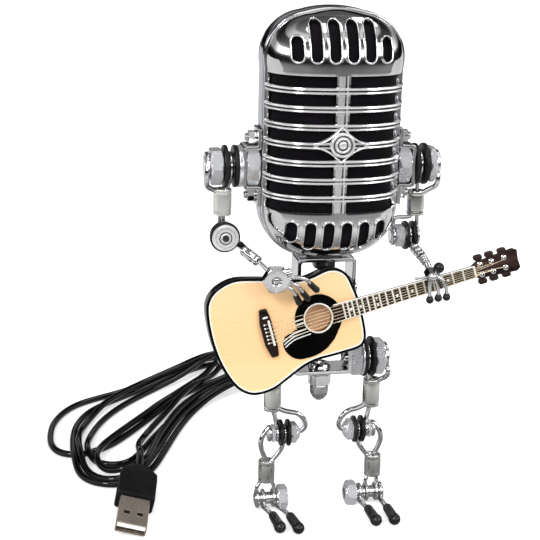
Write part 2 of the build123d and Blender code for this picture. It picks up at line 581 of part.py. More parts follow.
def upper_leg(s):
    k = R_HIP
    bx = s * 20.2 + 1.4
    rod(P(bx, 0, 42.0), P(bx, 0, 53.6), 3.4)
    eye(s, k["eye"], 0, HIP_Z, M8)
    eye(s, k["ring"], 0, HIP_Z, M8)
    rod(P(s * mid(k["eye"]), 0, HIP_Z - 4.7), P(s * mid(k["eye"]), 0, 52.4), 0.78)
    wire([P(s * 26.95, 0, HIP_Z - 4.7), P(s * 26.95, 0, 54.7), P(s * 24.0, 0, 52.8), P(bx + s * 1.6, 0, 50.4)], 0.78, 0.9)
    ring(P(kx(s, KN["outer"][0]), 0, KNEE_Z), P(kx(s, KN["outer"][1]), 0, KNEE_Z), M4 + 1.6, M4 - 0.02)
    rod(P(kx(s, 18.3), 0, KNEE_Z + 2.8), P(bx - s * 0.2, 0, 43.0), 0.75)
    # bow round the cap nut, ending under it
    wire([P(bx - s * 1.6, 0, 43.0), P(kx(s, 14.6), 0, 40.2), P(kx(s, 8.4), 0, 38.4), P(kx(s, 6.2), 0, 34.4), P(kx(s, 7.6), 0, KNEE_Z + 0.4)], 0.75, 1.3)


def knee_bolt(s):
    rod(P(kx(s, 9.6), 0, KNEE_Z), P(kx(s, KN["bow"][1] + 0.1), 0, KNEE_Z), M4 - 0.02)
    hexagon(P(kx(s, KN["nut"][0] + 1.6), 0, KNEE_Z), P(kx(s, KN["nut"][1]), 0, KNEE_Z), 7.6, corner=(0, 1, 0))
    rod(P(kx(s, KN["nut"][0] + 1.7), 0, KNEE_Z), P(kx(s, KN["nut"][0]), 0, KNEE_Z), 3.6, 1.6)
    ring(P(kx(s, KN["head"][0]), 0, KNEE_Z), P(kx(s, KN["head"][1]), 0, KNEE_Z), 3.4, M4 - 0.3)


def lower_leg(s):
    bx = kx(s, 22.1)
    rod(P(bx, -0.4, 11.4), P(bx, 0, 20.6), 3.3)
    ring(P(kx(s, KN["eye"][0]), 0, KNEE_Z), P(kx(s, KN["eye"][1]), 0, KNEE_Z), M4 + RUN + 1.5, M4 + RUN)
    ring(P(kx(s, KN["bow"][0]), 0, KNEE_Z), P(kx(s, KN["bow"][1]), 0, KNEE_Z), M4 + RUN + 1.2, M4 + RUN)
    wire([P(kx(s, 15.2), 0, KNEE_Z - 2.9), P(kx(s, 15.2), 0, 24.4), P(bx - s * 1.8, 0, 21.4), P(bx - s * 1.6, 0, 18.8)], 0.75, 1.0)
    wire([P(kx(s, 21.35), 0, KNEE_Z - 2.6), P(kx(s, 24.2), 0, 28.0), P(bx + s * 0.6, 0, 19.0)], 0.75, 1.2)
    # fork down to the ankle bolt
    for x in (KA[s]["fork"]):
        ring(P(x, ANKLE_Y, ANKLE_Z), P(x + 1.4, ANKLE_Y, ANKLE_Z), M5 + RUN + 1.3, M5 + RUN)
        rod(P(x + 0.7, ANKLE_Y, ANKLE_Z + 3.1), P(bx + (0.9 if x + 0.7 > bx else -0.9) * 1.4, -0.4, 12.4), 0.7)


# ankle stations in absolute x for each leg
KA = {
    -1: dict(fork=(-25.2, -18.6), eyes=(-22.7, -17.0), nut=(-16.3, -12.4), end=(-25.6, -12.2), toes=((-19.3, -23.3), (-12.3, -25.1))),
    1: dict(fork=(20.2, 24.2), eyes=(17.4, 26.2), nut=(12.4, 16.4), end=(12.2, 28.0), toes=((19.6, -22.9), (27.1, -23.1))),
}
TOE_R = 2.4


def foot(s):
    """Ankle bolt and nut, and two wires that run from heel to toe."""
    k = KA[s]
    rod(P(k["end"][0], ANKLE_Y, ANKLE_Z), P(k["end"][1], ANKLE_Y, ANKLE_Z), M5 - 0.02)
    hexagon(P(k["nut"][0], ANKLE_Y, ANKLE_Z), P(k["nut"][1], ANKLE_Y, ANKLE_Z), 2 * ANKLE_Z, M5 - 0.3, corner=(0, 1, 0))
    for x, (tx, ty) in zip(k["eyes"], k["toes"]):
        ring(P(x, ANKLE_Y, ANKLE_Z), P(x + 1.4, ANKLE_Y, ANKLE_Z), M5 + 1.35, M5 - 0.1)
        wire([P(x + 0.7, ANKLE_Y + 9.6, 1.0), P(x + 0.7, ANKLE_Y - 2.0, 1.5), P(tx - (tx - x) * 0.3, -11.0, 2.2), P(tx, ty + 1.5, TOE_R)], 0.8, 1.6)
        rod(P(x + 0.7, ANKLE_Y, 1.4), P(x + 0.7, ANKLE_Y - 0.6, ANKLE_Z - 2.6), 0.7)
    wire([P(k["eyes"][0] + 0.7, ANKLE_Y + 9.0, 0.85), P(k["eyes"][0] + 0.8, ANKLE_Y + 10.4, 0.85), P(k["eyes"][1] + 0.6, ANKLE_Y + 10.4, 0.85), P(k["eyes"][1] + 0.7, ANKLE_Y + 9.0, 0.85)], 0.85, 0.9)


def toe_sleeves(s):
    k = KA[s]
    for x, (tx, ty) in zip(k["eyes"], k["toes"]):
        dx = (tx - x - 0.7)
        a, b = P(tx - dx * 0.28, ty + 10.6, 2.25), P(tx, ty, TOE_R)
        rod(a, b, 1.75)
        ball(b, TOE_R)


for s, side in ((-1, "right"), (1, "left")):
    with BuildPart() as upper:
        upper_leg(s)
    finish(upper, side + "_upper_leg")
    with BuildPart() as knee:
        knee_bolt(s)
    finish(knee, side + "_knee_bolt")
    with BuildPart() as pads:
        for name in ("rub1", "rub2"):
            ring(P(kx(s, KN[name][0]), 0, KNEE_Z), P(kx(s, KN[name][1]), 0, KNEE_Z), 5.4, M4)
    finish(pads, side + "_knee_washers")
    with BuildPart() as lower:
        lower_leg(s)
    finish(lower, side + "_lower_leg")
    with BuildPart() as feet:
        foot(s)
    with BuildPart() as sleeves:
        toe_sleeves(s)
    finish(sleeves, side + "_toe_sleeves")
    # the sleeves are moulded round the wires
    with BuildPart() as bare_foot:
        add(feet.part)
        add(sleeves.part, mode=Mode.SUBTRACT)
    finish(bare_foot, side + "_foot")

# ----------------------------------------------------------------------- guitar
# plan outline in the soundboard's plane, u along the neck and v upwards
RIM = (
    (-40.4, 15.7), (-38, 19.6), (-33.5, 22.2), (-26.7, 23.3), (-22.2, 22.2), (-18.2, 21.1), (-9.5, 18.2), (-0.9, 16.1),
    (4.6, 16.9), (9.8, 17.2), (12.6, 16.1), (14.6, 14), (16, 9.1), (16.9, 4.3), (17, -1.3), (17, -6.6), (16.5, -11.6),
    (15.3, -14.3), (12.3, -16), (7.1, -16), (0, -15.9), (-6.1, -15.8), (-11.3, -17.2), (-16.7, -19.4), (-22.1, -21.7),
    (-27.1, -22.2), (-31.8, -21.7), (-35, -19.4), (-38.4, -14.3), (-40.7, -6.7), (-41.6, 1.8), (-41.2, 10.6),
)
NUT_U, SADDLE_U = 63.5, -19.0
SCALE_U = NUT_U - SADDLE_U


def rim_face(h, inset=0.0):
    with BuildSketch(G.offset(h)) as face:
        with BuildLine():
            for i in range(0, len(RIM), 2):
                ThreePointArc(RIM[i], RIM[i + 1], RIM[(i + 2) % len(RIM)])
        make_face()
        if inset:
            offset(amount=-inset)
    return face.sketch


def plate(points, h0, h1, mode=Mode.ADD):
    """Flat plate of a (u, v) outline between two heights over the soundboard."""
    with BuildSketch(G.offset(h0)) as face:
        with BuildLine():
            Polyline(*points, close=True)
        make_face()
    extrude(face.sketch, amount=h1 - h0, mode=mode)


def half_width(u):
    """Half width of neck and fretboard at u."""
    return 3.5 - (3.5 - 2.35) * (u - 6.5) / (NUT_U - 6.5)


with BuildPart() as guitar_soundboard:
    extrude(rim_face(-TOP_T), amount=TOP_T)
    with BuildSketch(G.offset(-2)) as hole:
        Circle(5.4)
    extrude(hole.sketch, amount=4, mode=Mode.SUBTRACT)
finish(guitar_soundboard, "guitar_soundboard")

with BuildPart() as guitar_body:
    extrude(rim_face(-BODY_T), amount=BODY_T - TOP_T)
    extrude(rim_face(-BODY_T + SIDE_T, SIDE_T), amount=BODY_T - TOP_T - SIDE_T, mode=Mode.SUBTRACT)
    # blocks inside: under the bracket screws, and where the neck is glued on
    plate(((1.5, -6.0), (10.5, -6.0), (10.5, 6.0), (1.5, 6.0)), -BODY_T + 0.5, -4.6)
    plate(((12.0, -5.0), (16.3, -5.0), (16.3, 5.0), (12.0, 5.0)), -BODY_T + 0.5, -TOP_T)
    for v in (-3.5, 3.5):
        with BuildSketch(Plane(origin=g(6.0, v, -9), z_dir=G.z_dir)) as hole:
            Circle(M3 - 0.3)
        extrude(hole.sketch, amount=3.4, mode=Mode.SUBTRACT)
finish(guitar_body, "guitar_body")

with BuildPart() as guitar_pickguard:
    with BuildSketch(G) as guard:
        with BuildLine():
            Line((0, -5.0), (-5.6, -2.2))
            Line((-5.6, -2.2), (-9.8, -1.8))
            Line((-9.8, -1.8), (-14.3, -3.3))
            ThreePointArc((-14.3, -3.3), (-15.6, -6.6), (-14.5, -10.3))
            ThreePointArc((-14.5, -10.3), (-11.9, -12.8), (-8.4, -13.6))
            ThreePointArc((-8.4, -13.6), (-3.4, -13.4), (1.0, -11.8))
            Line((1.0, -11.8), (6.2, -7.3))
            Line((6.2, -7.3), (0, -5.0))
        make_face()
        Circle(9.2)
        Circle(5.8, mode=Mode.SUBTRACT)
        with BuildLine():
            Polyline((6.4, -3.56), (12, -3.5), (12, 3.5), (6.4, 3.56), close=True)
        make_face(mode=Mode.SUBTRACT)
    extrude(guard.sketch, amount=0.3)
finish(guitar_pickguard, "guitar_pickguard")

with BuildPart() as guitar_bridge:
    plate(((-21.4, 9.6), (-18.5, 9.4), (-17.9, 5.4), (-17.8, -5.4), (-18.3, -9.4), (-21.0, -9.5), (-22.4, -4.4), (-22.5, 3.8)), 0, 1.5)
    plate(((SADDLE_U - 0.35, -5.0), (SADDLE_U + 0.35, -5.0), (SADDLE_U + 0.35, 5.0), (SADDLE_U - 0.35, 5.0)), 0.8, 3, Mode.SUBTRACT)
finish(guitar_bridge, "guitar_bridge")

with BuildPart() as guitar_nut_and_saddle:
    plate(((SADDLE_U - 0.35, -5.0), (SADDLE_U + 0.35, -5.0), (SADDLE_U + 0.35, 5.0), (SADDLE_U - 0.35, 5.0)), 0.8, 2.0)
    plate(((NUT_U - 0.4, -2.35), (NUT_U + 0.4, -2.35), (NUT_U + 0.4, 2.35), (NUT_U - 0.4, 2.35)), 0, 1.5)
finish(guitar_nut_and_saddle, "guitar_nut_and_saddle")

FRETS = tuple(NUT_U - SCALE_U * (1 - 2 ** (-n / 12)) for n in range(1, 19))
with BuildPart() as guitar_fretboard:
    plate(((6.5, -3.5), (NUT_U - 0.4, -half_width(NUT_U)), (NUT_U - 0.4, half_width(NUT_U)), (6.5, 3.5)), 0, 1.0)
    for u in FRETS:
        plate(((u - 0.2, -5), (u + 0.2, -5), (u + 0.2, 5), (u - 0.2, 5)), 0.6, 2, Mode.SUBTRACT)
finish(guitar_fretboard, "guitar_fretboard")

with BuildPart() as guitar_frets:
    for u in FRETS:
        w = half_width(u)
        plate(((u - 0.2, -w), (u + 0.2, -w), (u + 0.2, w), (u - 0.2, w)), 0.6, 1.25)
finish(guitar_frets, "guitar_frets")

TUNER_U = (66.6, 71.3, 76.5)
with BuildPart() as guitar_neck:
    ends = []
    for u in (15.0, NUT_U + 0.4):
        w = half_width(u)
        with BuildSketch(Plane(origin=g(u, 0, 0), x_dir=G.y_dir, z_dir=G.x_dir)) as section:
            with BuildLine():
                Line((-w, 0), (w, 0))
                Line((w, 0), (w, -0.7))
                ThreePointArc((w, -0.7), (0, -2.7), (-w, -0.7))
                Line((-w, -0.7), (-w, 0))
            make_face()
        ends.append(section.sketch)
    loft(ends, ruled=True)
    plate(((15.0, -2.6), (18.6, -2.6), (18.6, 2.6), (15.0, 2.6)), -6.8, -0.2)
    plate(((NUT_U - 0.3, -2.3), (65.2, -3.0), (80.8, -4.1), (82.5, -3.2), (HEAD_END, 3.2), (80.8, 4.1), (65.2, 3.0), (NUT_U - 0.3, 2.3)), -1.9, -0.3)
    extrude(rim_face(-BODY_T - 1), amount=BODY_T + 1, mode=Mode.SUBTRACT)
    for u in TUNER_U:
        for v in (-2.0, 2.0):
            with BuildSketch(G.offset(-3)) as hole:
                with Locations((u, v)):
                    Circle(0.6)
            extrude(hole.sketch, amount=4, mode=Mode.SUBTRACT)
finish(guitar_neck, "guitar_neck")

with BuildPart() as guitar_tuners:
    for u in TUNER_U:
        for s in (-1, 1):
            rod(g(u, s * 2.0, -2.5), g(u, s * 2.0, 1.0), 0.58)
            plate(((u - 1.0, s * 1.2), (u + 1.0, s * 1.2), (u + 1.0, s * 3.2), (u - 1.0, s * 3.2)), -3.3, -1.9)
            rod(g(u, s * 3.0, -2.6), g(u, s * 5.0, -2.6), 0.4)
            plate(((u - 1.1, s * 4.8), (u + 1.1, s * 4.8), (u + 1.1, s * 6.2), (u - 1.1, s * 6.2)), -3.2, -2.0)
finish(guitar_tuners, "guitar_tuners")

with BuildPart() as guitar_strings:
    for i in range(6):
        v = (2.5 - i) * 1.44
        n = (2.5 - i) * 0.72
        r = 0.12 + 0.012 * i
        post_u = TUNER_U[min(i, 5 - i)]
        post_v = 1.4 if i < 3 else -1.4
        wire([g(SADDLE_U - 2.4, v, 1.5 + r), g(SADDLE_U - 0.5, v, 2.0 + r), g(NUT_U + 0.6, n, 1.5 + r), g(post_u - 0.8, post_v, 0.4)], r, 0.8)
finish(guitar_strings, "guitar_strings")

# ------------------------------------------------------------------------ cable
RUN_POINTS = ((0, 0, 84), (0, 3, 70), (-1, 24, 56), (-4, 58, 38), (-7, 92, 19), (-7, 118, 8.2), (-5.5, 140, 3.4))
LEAD_POINTS = ((-70.3, 19.6, 7.9), (-68.4, 30.5, 9.6), (-67.5, 40, 9.4), (-67.2, 50, 6.8), (-66, 61, 4.1))


def cable(points, r):
    """Round cable along a polyline with every corner rounded."""
    runs = [math.dist(a, b) for a, b in zip(points, points[1:])]
    radii = []
    for i in range(1, len(points) - 1):
        a, b, c = (Vector(*points[i + k]) for k in (-1, 0, 1))
        turn = math.acos(max(-1.0, min(1.0, (b - a).normalized().dot((c - b).normalized()))))
        radii.append(0.45 * min(runs[i - 1], runs[i]) / math.tan(turn / 2))
    print("cable corner radii", [round(q, 1) for q in radii], "length", round(sum(runs), 1))
    pts = [P(*q) for q in points]
    with BuildLine() as path:
        FilletPolyline(*pts, radius=tuple(radii))
    with BuildSketch(Plane(origin=pts[0], z_dir=pts[1] - pts[0])) as s:
        Circle(r)
    sweep(s.sketch, path=path.line)


# the loose hank's outline on the floor, and the three openings between its turns
HANK = (
    (-81.5, 24), (-73, 24.8), (-68.5, 27.5), (-64.5, 32), (-58, 44), (-42, 85), (-31.2, 104.2), (-19.5, 116.5),
    (-7, 125.5), (5.2, 136), (15.8, 148), (19.8, 158.8), (19.5, 168), (15, 177.8), (9.5, 182.8), (2.8, 185.8),
    (-4.2, 186.4), (-13.2, 182.5), (-27.5, 168.2), (-44.5, 152), (-70.8, 130.2), (-89.5, 119), (-97.2, 110),
    (-101.8, 101.5), (-105, 90.2), (-106.4, 78.2), (-106.1, 69.5), (-103.2, 61), (-97.6, 54.8), (-96.9, 40.8),
    (-94.4, 33), (-88.2, 26.6),
)
HANK_OPENINGS = (
    ((-83.8, 64), (-80, 67.8), (-66.2, 88.8), (-33.5, 143.2), (-36, 145.8), (-64, 114.8), (-79, 91.5), (-84, 78), (-86.2, 66.5)),
    ((-99.2, 65.8), (-96.8, 68.2), (-95.8, 81.5), (-92.8, 94.8), (-88, 105.2), (-76.8, 118.5), (-79.2, 121), (-90.8, 112), (-99, 97.5), (-102.5, 77), (-101.8, 68.2)),
    ((-79.2, 46.8), (-74.2, 48), (-68.8, 55.2), (-64.2, 74), (-66.8, 76.5), (-78.2, 63), (-83.5, 49.8)),
)
HANK_H = 9.0
with BuildPart() as whole_run:
    cable(RUN_POINTS, CABLE_R)
with BuildPart() as whole_lead:
    cable(LEAD_POINTS, CABLE_R)
with BuildPart() as cable_strain_relief:
    rod(P(0, 0, 98.2), P(0, 0, 83.6), 2.6, 1.9)
    add(whole_run.part, mode=Mode.SUBTRACT)
finish(cable_strain_relief, "cable_strain_relief")

with BuildPart() as cable_hank:
    with BuildSketch(Plane(origin=P(0, 0, 0))) as outline:
        with BuildLine():
            Polyline(*HANK, close=True)
        make_face()
        for opening in HANK_OPENINGS:
            with BuildLine():
                Polyline(*opening, close=True)
            make_face(mode=Mode.SUBTRACT)
    extrude(outline.sketch, amount=HANK_H)
    add(whole_run.part, mode=Mode.SUBTRACT)
    add(whole_lead.part, mode=Mode.SUBTRACT)
finish(cable_hank, "cable_hank")
with BuildPart() as cable_run:
    add(whole_run.part)
finish(cable_run, "cable_run")
with BuildPart() as cable_plug_lead:
    add(whole_lead.part)
finish(cable_plug_lead, "cable_plug_lead")

# USB-A plug, lying on the floor and rolled a little
PLUG_TIP = (-77.0, -19.1, 3.7)
c6, s6 = math.cos(math.radians(6)), math.sin(math.radians(6))
PLUG_BACK = Vector(0.171 * c6, 0.985 * c6, s6)
roll = math.radians(13)
side = PLUG_BACK.cross(Vector(0, 0, 1)).normalized()
up = side.cross(PLUG_BACK).normalized()
PLUG_ACROSS = side * math.cos(roll) - up * math.sin(roll)
U = Plane(origin=P(*PLUG_TIP), x_dir=PLUG_ACROSS, z_dir=PLUG_BACK)
SHELL_L, BODY_L = 18.75, 21.0

with BuildPart() as usb_plug_shell:
    with BuildSketch(U) as s:
        Rectangle(12.0, 4.5)
        Rectangle(11.4, 3.9, mode=Mode.SUBTRACT)
    extrude(s.sketch, amount=SHELL_L)
    for x in (-2.6, 2.6):
        with BuildSketch(Plane(origin=U.from_local_coords(Vector(x, 0, 7.6)), x_dir=U.x_dir, z_dir=U.y_dir)) as s:
            Rectangle(2.4, 2.6)
        extrude(s.sketch, amount=4, both=True, mode=Mode.SUBTRACT)
finish(usb_plug_shell, "usb_plug_shell")

with BuildPart() as usb_plug_body:
    with BuildSketch(U.offset(SHELL_L)) as s:
        RectangleRounded(15.5, 8.0, 1.6)
    extrude(s.sketch, amount=BODY_L)
    # the tongue that carries the contacts, in the lower half of the shell
    with BuildSketch(U.offset(1.0)) as s:
        with Locations((0, -0.85)):
            Rectangle(11.2, 1.9)
    extrude(s.sketch, amount=SHELL_L)
    add(whole_lead.part, mode=Mode.SUBTRACT)
finish(usb_plug_body, "usb_plug_body")
print("plug back", U.from_local_coords(Vector(0, 0, SHELL_L + BODY_L)) - P(0, 0, 0))
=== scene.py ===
"""Robot shaped desk lamp: looks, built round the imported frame.

Lengths are millimetres in the robot's own frame (middle plane x = 0, y = 0), and row() turns them
into metres in the frame's own coordinates.
"""
import json
import math

import bmesh
import bpy
from mathutils import Matrix, Vector
from mathutils.geometry import tessellate_polygon

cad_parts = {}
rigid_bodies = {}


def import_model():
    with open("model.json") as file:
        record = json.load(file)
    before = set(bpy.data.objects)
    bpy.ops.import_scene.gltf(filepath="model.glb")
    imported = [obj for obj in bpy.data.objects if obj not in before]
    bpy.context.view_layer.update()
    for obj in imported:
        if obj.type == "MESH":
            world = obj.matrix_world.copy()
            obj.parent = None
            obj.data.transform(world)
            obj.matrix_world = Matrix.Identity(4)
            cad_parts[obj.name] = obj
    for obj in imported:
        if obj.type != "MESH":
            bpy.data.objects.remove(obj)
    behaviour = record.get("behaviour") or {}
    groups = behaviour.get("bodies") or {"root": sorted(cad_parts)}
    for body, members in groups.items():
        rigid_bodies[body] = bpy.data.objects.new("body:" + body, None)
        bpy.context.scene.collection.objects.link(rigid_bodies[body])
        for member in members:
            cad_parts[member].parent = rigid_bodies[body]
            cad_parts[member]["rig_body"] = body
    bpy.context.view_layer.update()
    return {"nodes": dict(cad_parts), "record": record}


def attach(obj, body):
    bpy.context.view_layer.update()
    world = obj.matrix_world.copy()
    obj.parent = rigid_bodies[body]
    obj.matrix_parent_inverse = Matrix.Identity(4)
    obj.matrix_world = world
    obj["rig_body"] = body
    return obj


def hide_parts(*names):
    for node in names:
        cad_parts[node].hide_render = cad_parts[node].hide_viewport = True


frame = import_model()
CX, CY = -13.227, 2.95
scene = bpy.context.scene


def row(p):
    return Vector(((p[0] + CX) / 1000.0, (p[1] + CY) / 1000.0, p[2] / 1000.0))


# ---------------------------------------------------------------------- camera
def camera():
    az, el, roll = math.radians(-11.5), math.radians(16.0), math.radians(1.5)
    back = Vector((math.sin(az) * math.cos(el), -math.cos(az) * math.cos(el), math.sin(el)))
    place = row((-21.2, 0.0, 100.0)) + back * 0.501
    right = (-back).cross(Vector((0, 0, 1))).normalized()
    up = right.cross(-back)
    r = right * math.cos(roll) + up * math.sin(roll)
    u = -right * math.sin(roll) + up * math.cos(roll)
    cam = bpy.data.objects.new("camera", bpy.data.cameras.new("camera"))
    scene.collection.objects.link(cam)
    m = Matrix((r, u, back)).transposed().to_4x4()
    m.translation = place
    cam.matrix_world = m
    cam.data.sensor_width = 36.0
    cam.data.lens = 36.0 * (501.0 / 0.3855) / 540.0
    cam.data.clip_start, cam.data.clip_end = 0.02, 20.0
    scene.camera = cam


camera()


# ------------------------------------------------------------------- materials
def material(name, color, second=None, metal=0.0, rough=0.4, rough_by=0.1, spots=120.0, rough_at=260.0,
             bump=0.1, bump_at=900.0, depth=0.00008, coat=0.0, coat_rough=0.05, sheen=0.0, stretch=(1, 1, 1), turn=(0, 0, 0), ior=1.5,
             mix_lo=0.35, mix_hi=0.7, wear=None, specular=0.5):
    """Principled material whose colour, roughness and fine relief all come from noise in object space."""
    m = bpy.data.materials.new(name)
    m.use_nodes = True
    t = m.node_tree
    p = t.nodes["Principled BSDF"]
    p.inputs["Metallic"].default_value = metal
    p.inputs["IOR"].default_value = ior
    p.inputs["Specular IOR Level"].default_value = specular
    p.inputs["Coat Weight"].default_value = coat
    p.inputs["Coat Roughness"].default_value = coat_rough
    p.inputs["Sheen Weight"].default_value = sheen
    co = t.nodes.new("ShaderNodeTexCoord")
    mp = t.nodes.new("ShaderNodeMapping")
    mp.inputs["Scale"].default_value = stretch
    mp.inputs["Rotation"].default_value = turn
    t.links.new(co.outputs["Object"], mp.inputs["Vector"])

    def noise(scale, detail):
        n = t.nodes.new("ShaderNodeTexNoise")
        n.inputs["Scale"].default_value = scale
        n.inputs["Detail"].default_value = detail
        t.links.new(mp.outputs["Vector"], n.inputs["Vector"])
        return n.outputs["Fac"]

    ramp = t.nodes.new("ShaderNodeValToRGB")
    ramp.color_ramp.elements[0].position, ramp.color_ramp.elements[1].position = mix_lo, mix_hi
    ramp.color_ramp.elements[0].color = (*color, 1)
    ramp.color_ramp.elements[1].color = (*(second or [min(1, c * 0.88) for c in color]), 1)
    t.links.new(noise(spots, 3.0), ramp.inputs["Fac"])
    last = ramp.outputs["Color"]
    if wear:
        # edges rubbed brighter or darker
        geo = t.nodes.new("ShaderNodeNewGeometry")
        edge = t.nodes.new("ShaderNodeMapRange")
        edge.inputs["From Min"].default_value, edge.inputs["From Max"].default_value = 0.53, 0.62
        t.links.new(geo.outputs["Pointiness"], edge.inputs["Value"])
        mix = t.nodes.new("ShaderNodeMix")
        mix.data_type = "RGBA"
        mix.inputs["B"].default_value = (*wear, 1)
        t.links.new(edge.outputs["Result"], mix.inputs["Factor"])
        t.links.new(last, mix.inputs["A"])
        last = mix.outputs["Result"]
    t.links.new(last, p.inputs["Base Color"])
    span = t.nodes.new("ShaderNodeMapRange")
    span.inputs["From Min"].default_value, span.inputs["From Max"].default_value = 0.3, 0.75
    span.inputs["To Min"].default_value, span.inputs["To Max"].default_value = max(0.02, rough - rough_by), rough + rough_by
    t.links.new(noise(rough_at, 5.0), span.inputs["Value"])
    t.links.new(span.outputs["Result"], p.inputs["Roughness"])
    if bump:
        b = t.nodes.new("ShaderNodeBump")
        b.inputs["Strength"].default_value = bump
        b.inputs["Distance"].default_value = depth
        t.links.new(noise(bump_at, 4.0), b.inputs["Height"])
        t.links.new(b.outputs["Normal"], p.inputs["Normal"])
    return m


GRAIN = math.atan2(0.247, 0.969)
MAT = {
    "chrome": material("chrome", (0.76, 0.76, 0.77), (0.60, 0.60, 0.61), 1.0, 0.07, 0.04, 90, 420, 0.12, 700, 0.00004, mix_lo=0.42, mix_hi=0.72),
    "nickel": material("nickel", (0.80, 0.80, 0.765), (0.62, 0.62, 0.585), 1.0, 0.21, 0.06, 60, 400, 0.25, 1500, 0.00004, stretch=(1, 1, 0.35)),
    # paler, partly matt copy of nickel for the right upper arm's barrel: painted light
    "nickel_painted_light": material("nickel_painted_light", (0.86, 0.86, 0.82), (0.68, 0.68, 0.64), 0.62, 0.24, 0.06, 60, 400, 0.25, 1500, 0.00004, stretch=(1, 1, 0.35)),
    "dark_nut": material("dark_nut", (0.05, 0.05, 0.055), (0.09, 0.09, 0.09), 0.6, 0.34, 0.1, 200, 500, 0.3, 1500, wear=(0.4, 0.4, 0.4)),
    "rubber": material("rubber", (0.004, 0.004, 0.004), (0.009, 0.009, 0.009), 0.0, 0.38, 0.12, 240, 500, 0.5, 1800, 0.00008, wear=(0.03, 0.03, 0.03), specular=0.22),
    "liner": material("liner", (0.004, 0.0045, 0.0055), (0.010, 0.007, 0.011), 0.0, 0.85, 0.08, 60, 900, 0.7, 1600, 0.00015, sheen=0.06, specular=0.05),
    "board": material("board", (0.02, 0.15, 0.06), (0.03, 0.21, 0.08), 0.0, 0.35, 0.1, 500, 600, 0.3, 1200),
    "lens": material("lens", (0.93, 0.92, 0.86), (0.86, 0.85, 0.78), 0.0, 0.22, 0.06, 60, 300, 0.1, 600),
    "holder": material("holder", (0.85, 0.84, 0.80), (0.76, 0.75, 0.70), 0.0, 0.3, 0.1, 100, 400, 0.2, 900),
    "brass": material("brass", (0.86, 0.78, 0.62), (0.66, 0.52, 0.32), 1.0, 0.2, 0.06, 300, 900, 0.2, 1800, 0.00003),
    "spruce": material("spruce", (0.985, 0.665, 0.365), (0.985, 0.595, 0.29), 0.0, 0.30, 0.06, 34, 500, 0.12, 260, 0.00006, stretch=(0.16, 1.0, 2.3), turn=(0, GRAIN, 0), mix_lo=0.3, mix_hi=0.85, specular=0.3),
    "guitar_black": material("guitar_black", (0.0012, 0.0012, 0.0012), (0.003, 0.0026, 0.0024), 0.0, 0.12, 0.05, 90, 420, 0.1, 600, 0.00004, wear=(0.03, 0.027, 0.025), specular=0.10),
    "ivory": material("ivory", (0.97, 0.96, 0.92), (0.88, 0.86, 0.80), 0.0, 0.26, 0.08, 220, 500, 0.15, 900),
    "rosewood": material("rosewood", (0.009, 0.0045, 0.004), (0.030, 0.014, 0.011), 0.0, 0.34, 0.1, 220, 500, 0.4, 900, 0.0001, stretch=(0.18, 1.0, 1.6), turn=(0, GRAIN, 0), wear=(0.07, 0.036, 0.028), specular=0.22),
    "copper_wood": material("copper_wood", (0.74, 0.44, 0.23), (0.58, 0.31, 0.165), 0.0, 0.45, 0.1, 240, 500, 0.3, 900, stretch=(0.3, 1, 1.6), turn=(0, GRAIN, 0)),
    "cable_black": material("cable_black", (0.0018, 0.0018, 0.0022), (0.0038, 0.0038, 0.0045), 0.0, 0.085, 0.03, 140, 600, 0.12, 1300, 0.00003, specular=0.36),
    "plug_black": material("plug_black", (0.003, 0.003, 0.0038), (0.006, 0.006, 0.007), 0.0, 0.44, 0.08, 200, 700, 0.6, 2200, 0.00008, wear=(0.02, 0.02, 0.022), specular=0.16),
    "plug_shell": material("plug_shell", (0.42, 0.36, 0.30), (0.33, 0.28, 0.23), 0.55, 0.26, 0.07, 130, 600, 0.3, 900, 0.00005, stretch=(1, 0.3, 1)),
    # brighter, partly matt copy of chrome for the right elbow's cap screw: painted reflection
    "chrome_painted_bright": material("chrome_painted_bright", (0.96, 0.96, 0.96), (0.84, 0.84, 0.84), 0.55, 0.30, 0.07, 200, 500, 0.2, 1400, 0.00004),
    "zinc": material("zinc", (0.90, 0.91, 0.93), (0.82, 0.83, 0.86), 0.74, 0.20, 0.03, 240, 500, 0.05, 1400, 0.00002),
    # whiter, partly matt copy of chrome: painted highlight, used on the head's bar ridges and badge
    "chrome_painted_highlight": material("chrome_painted_highlight", (0.97, 0.97, 0.96), (0.88, 0.88, 0.88), 0.62, 0.16, 0.05, 160, 500, 0.1, 1200, 0.00003),
    # darker copy of chrome for the centre hoop: painted shade
    "chrome_painted_dark": material("chrome_painted_dark", (0.47, 0.49, 0.53), (0.37, 0.39, 0.43), 1.0, 0.15, 0.05, 90, 420, 0.15, 700, 0.00004),
    "gold": material("gold", (0.90, 0.66, 0.26), (0.78, 0.54, 0.18), 1.0, 0.2, 0.06, 300, 700, 0.2, 900),
    "fingertip": material("fingertip", (0.004, 0.0035, 0.0035), (0.014, 0.011, 0.010), 0.0, 0.15, 0.06, 260, 600, 0.3, 1500, 0.00006, wear=(0.04, 0.035, 0.03), specular=0.4),
}
SUBPARTS = {s["node"]: s["material_slot"] for s in frame["record"]["subparts"]}
for node, ob in frame["nodes"].items():
    ob.data.materials.clear()
    ob.data.materials.append(MAT[SUBPARTS[node]])


# ----------------------------------------------------------------- mesh building
def basis(z, hint=None):
    z = Vector(z).normalized()
    h = Vector(hint) if hint is not None else (Vector((0, 0, 1)) if abs(z.z) < 0.9 else Vector((1, 0, 0)))
    x = (h - z * h.dot(z)).normalized()
    return x, z.cross(x), z


def smooth_path(pts, n=8):
    """Points on the smooth curve that starts and ends on the first and last of pts."""
    pts = [Vector(p) for p in pts]
    if len(pts) == 2:
        return [pts[0].lerp(pts[1], k / 3) for k in range(4)]
    out = [pts[0].copy()]
    for i in range(1, len(pts) - 1):
        a = pts[0] if i == 1 else (pts[i - 1] + pts[i]) / 2
        b = pts[-1] if i == len(pts) - 2 else (pts[i] + pts[i + 1]) / 2
        for k in range(1, n + 1):
            t = k / n
            out.append(a * (1 - t) ** 2 + pts[i] * 2 * t * (1 - t) + b * t * t)
    return out


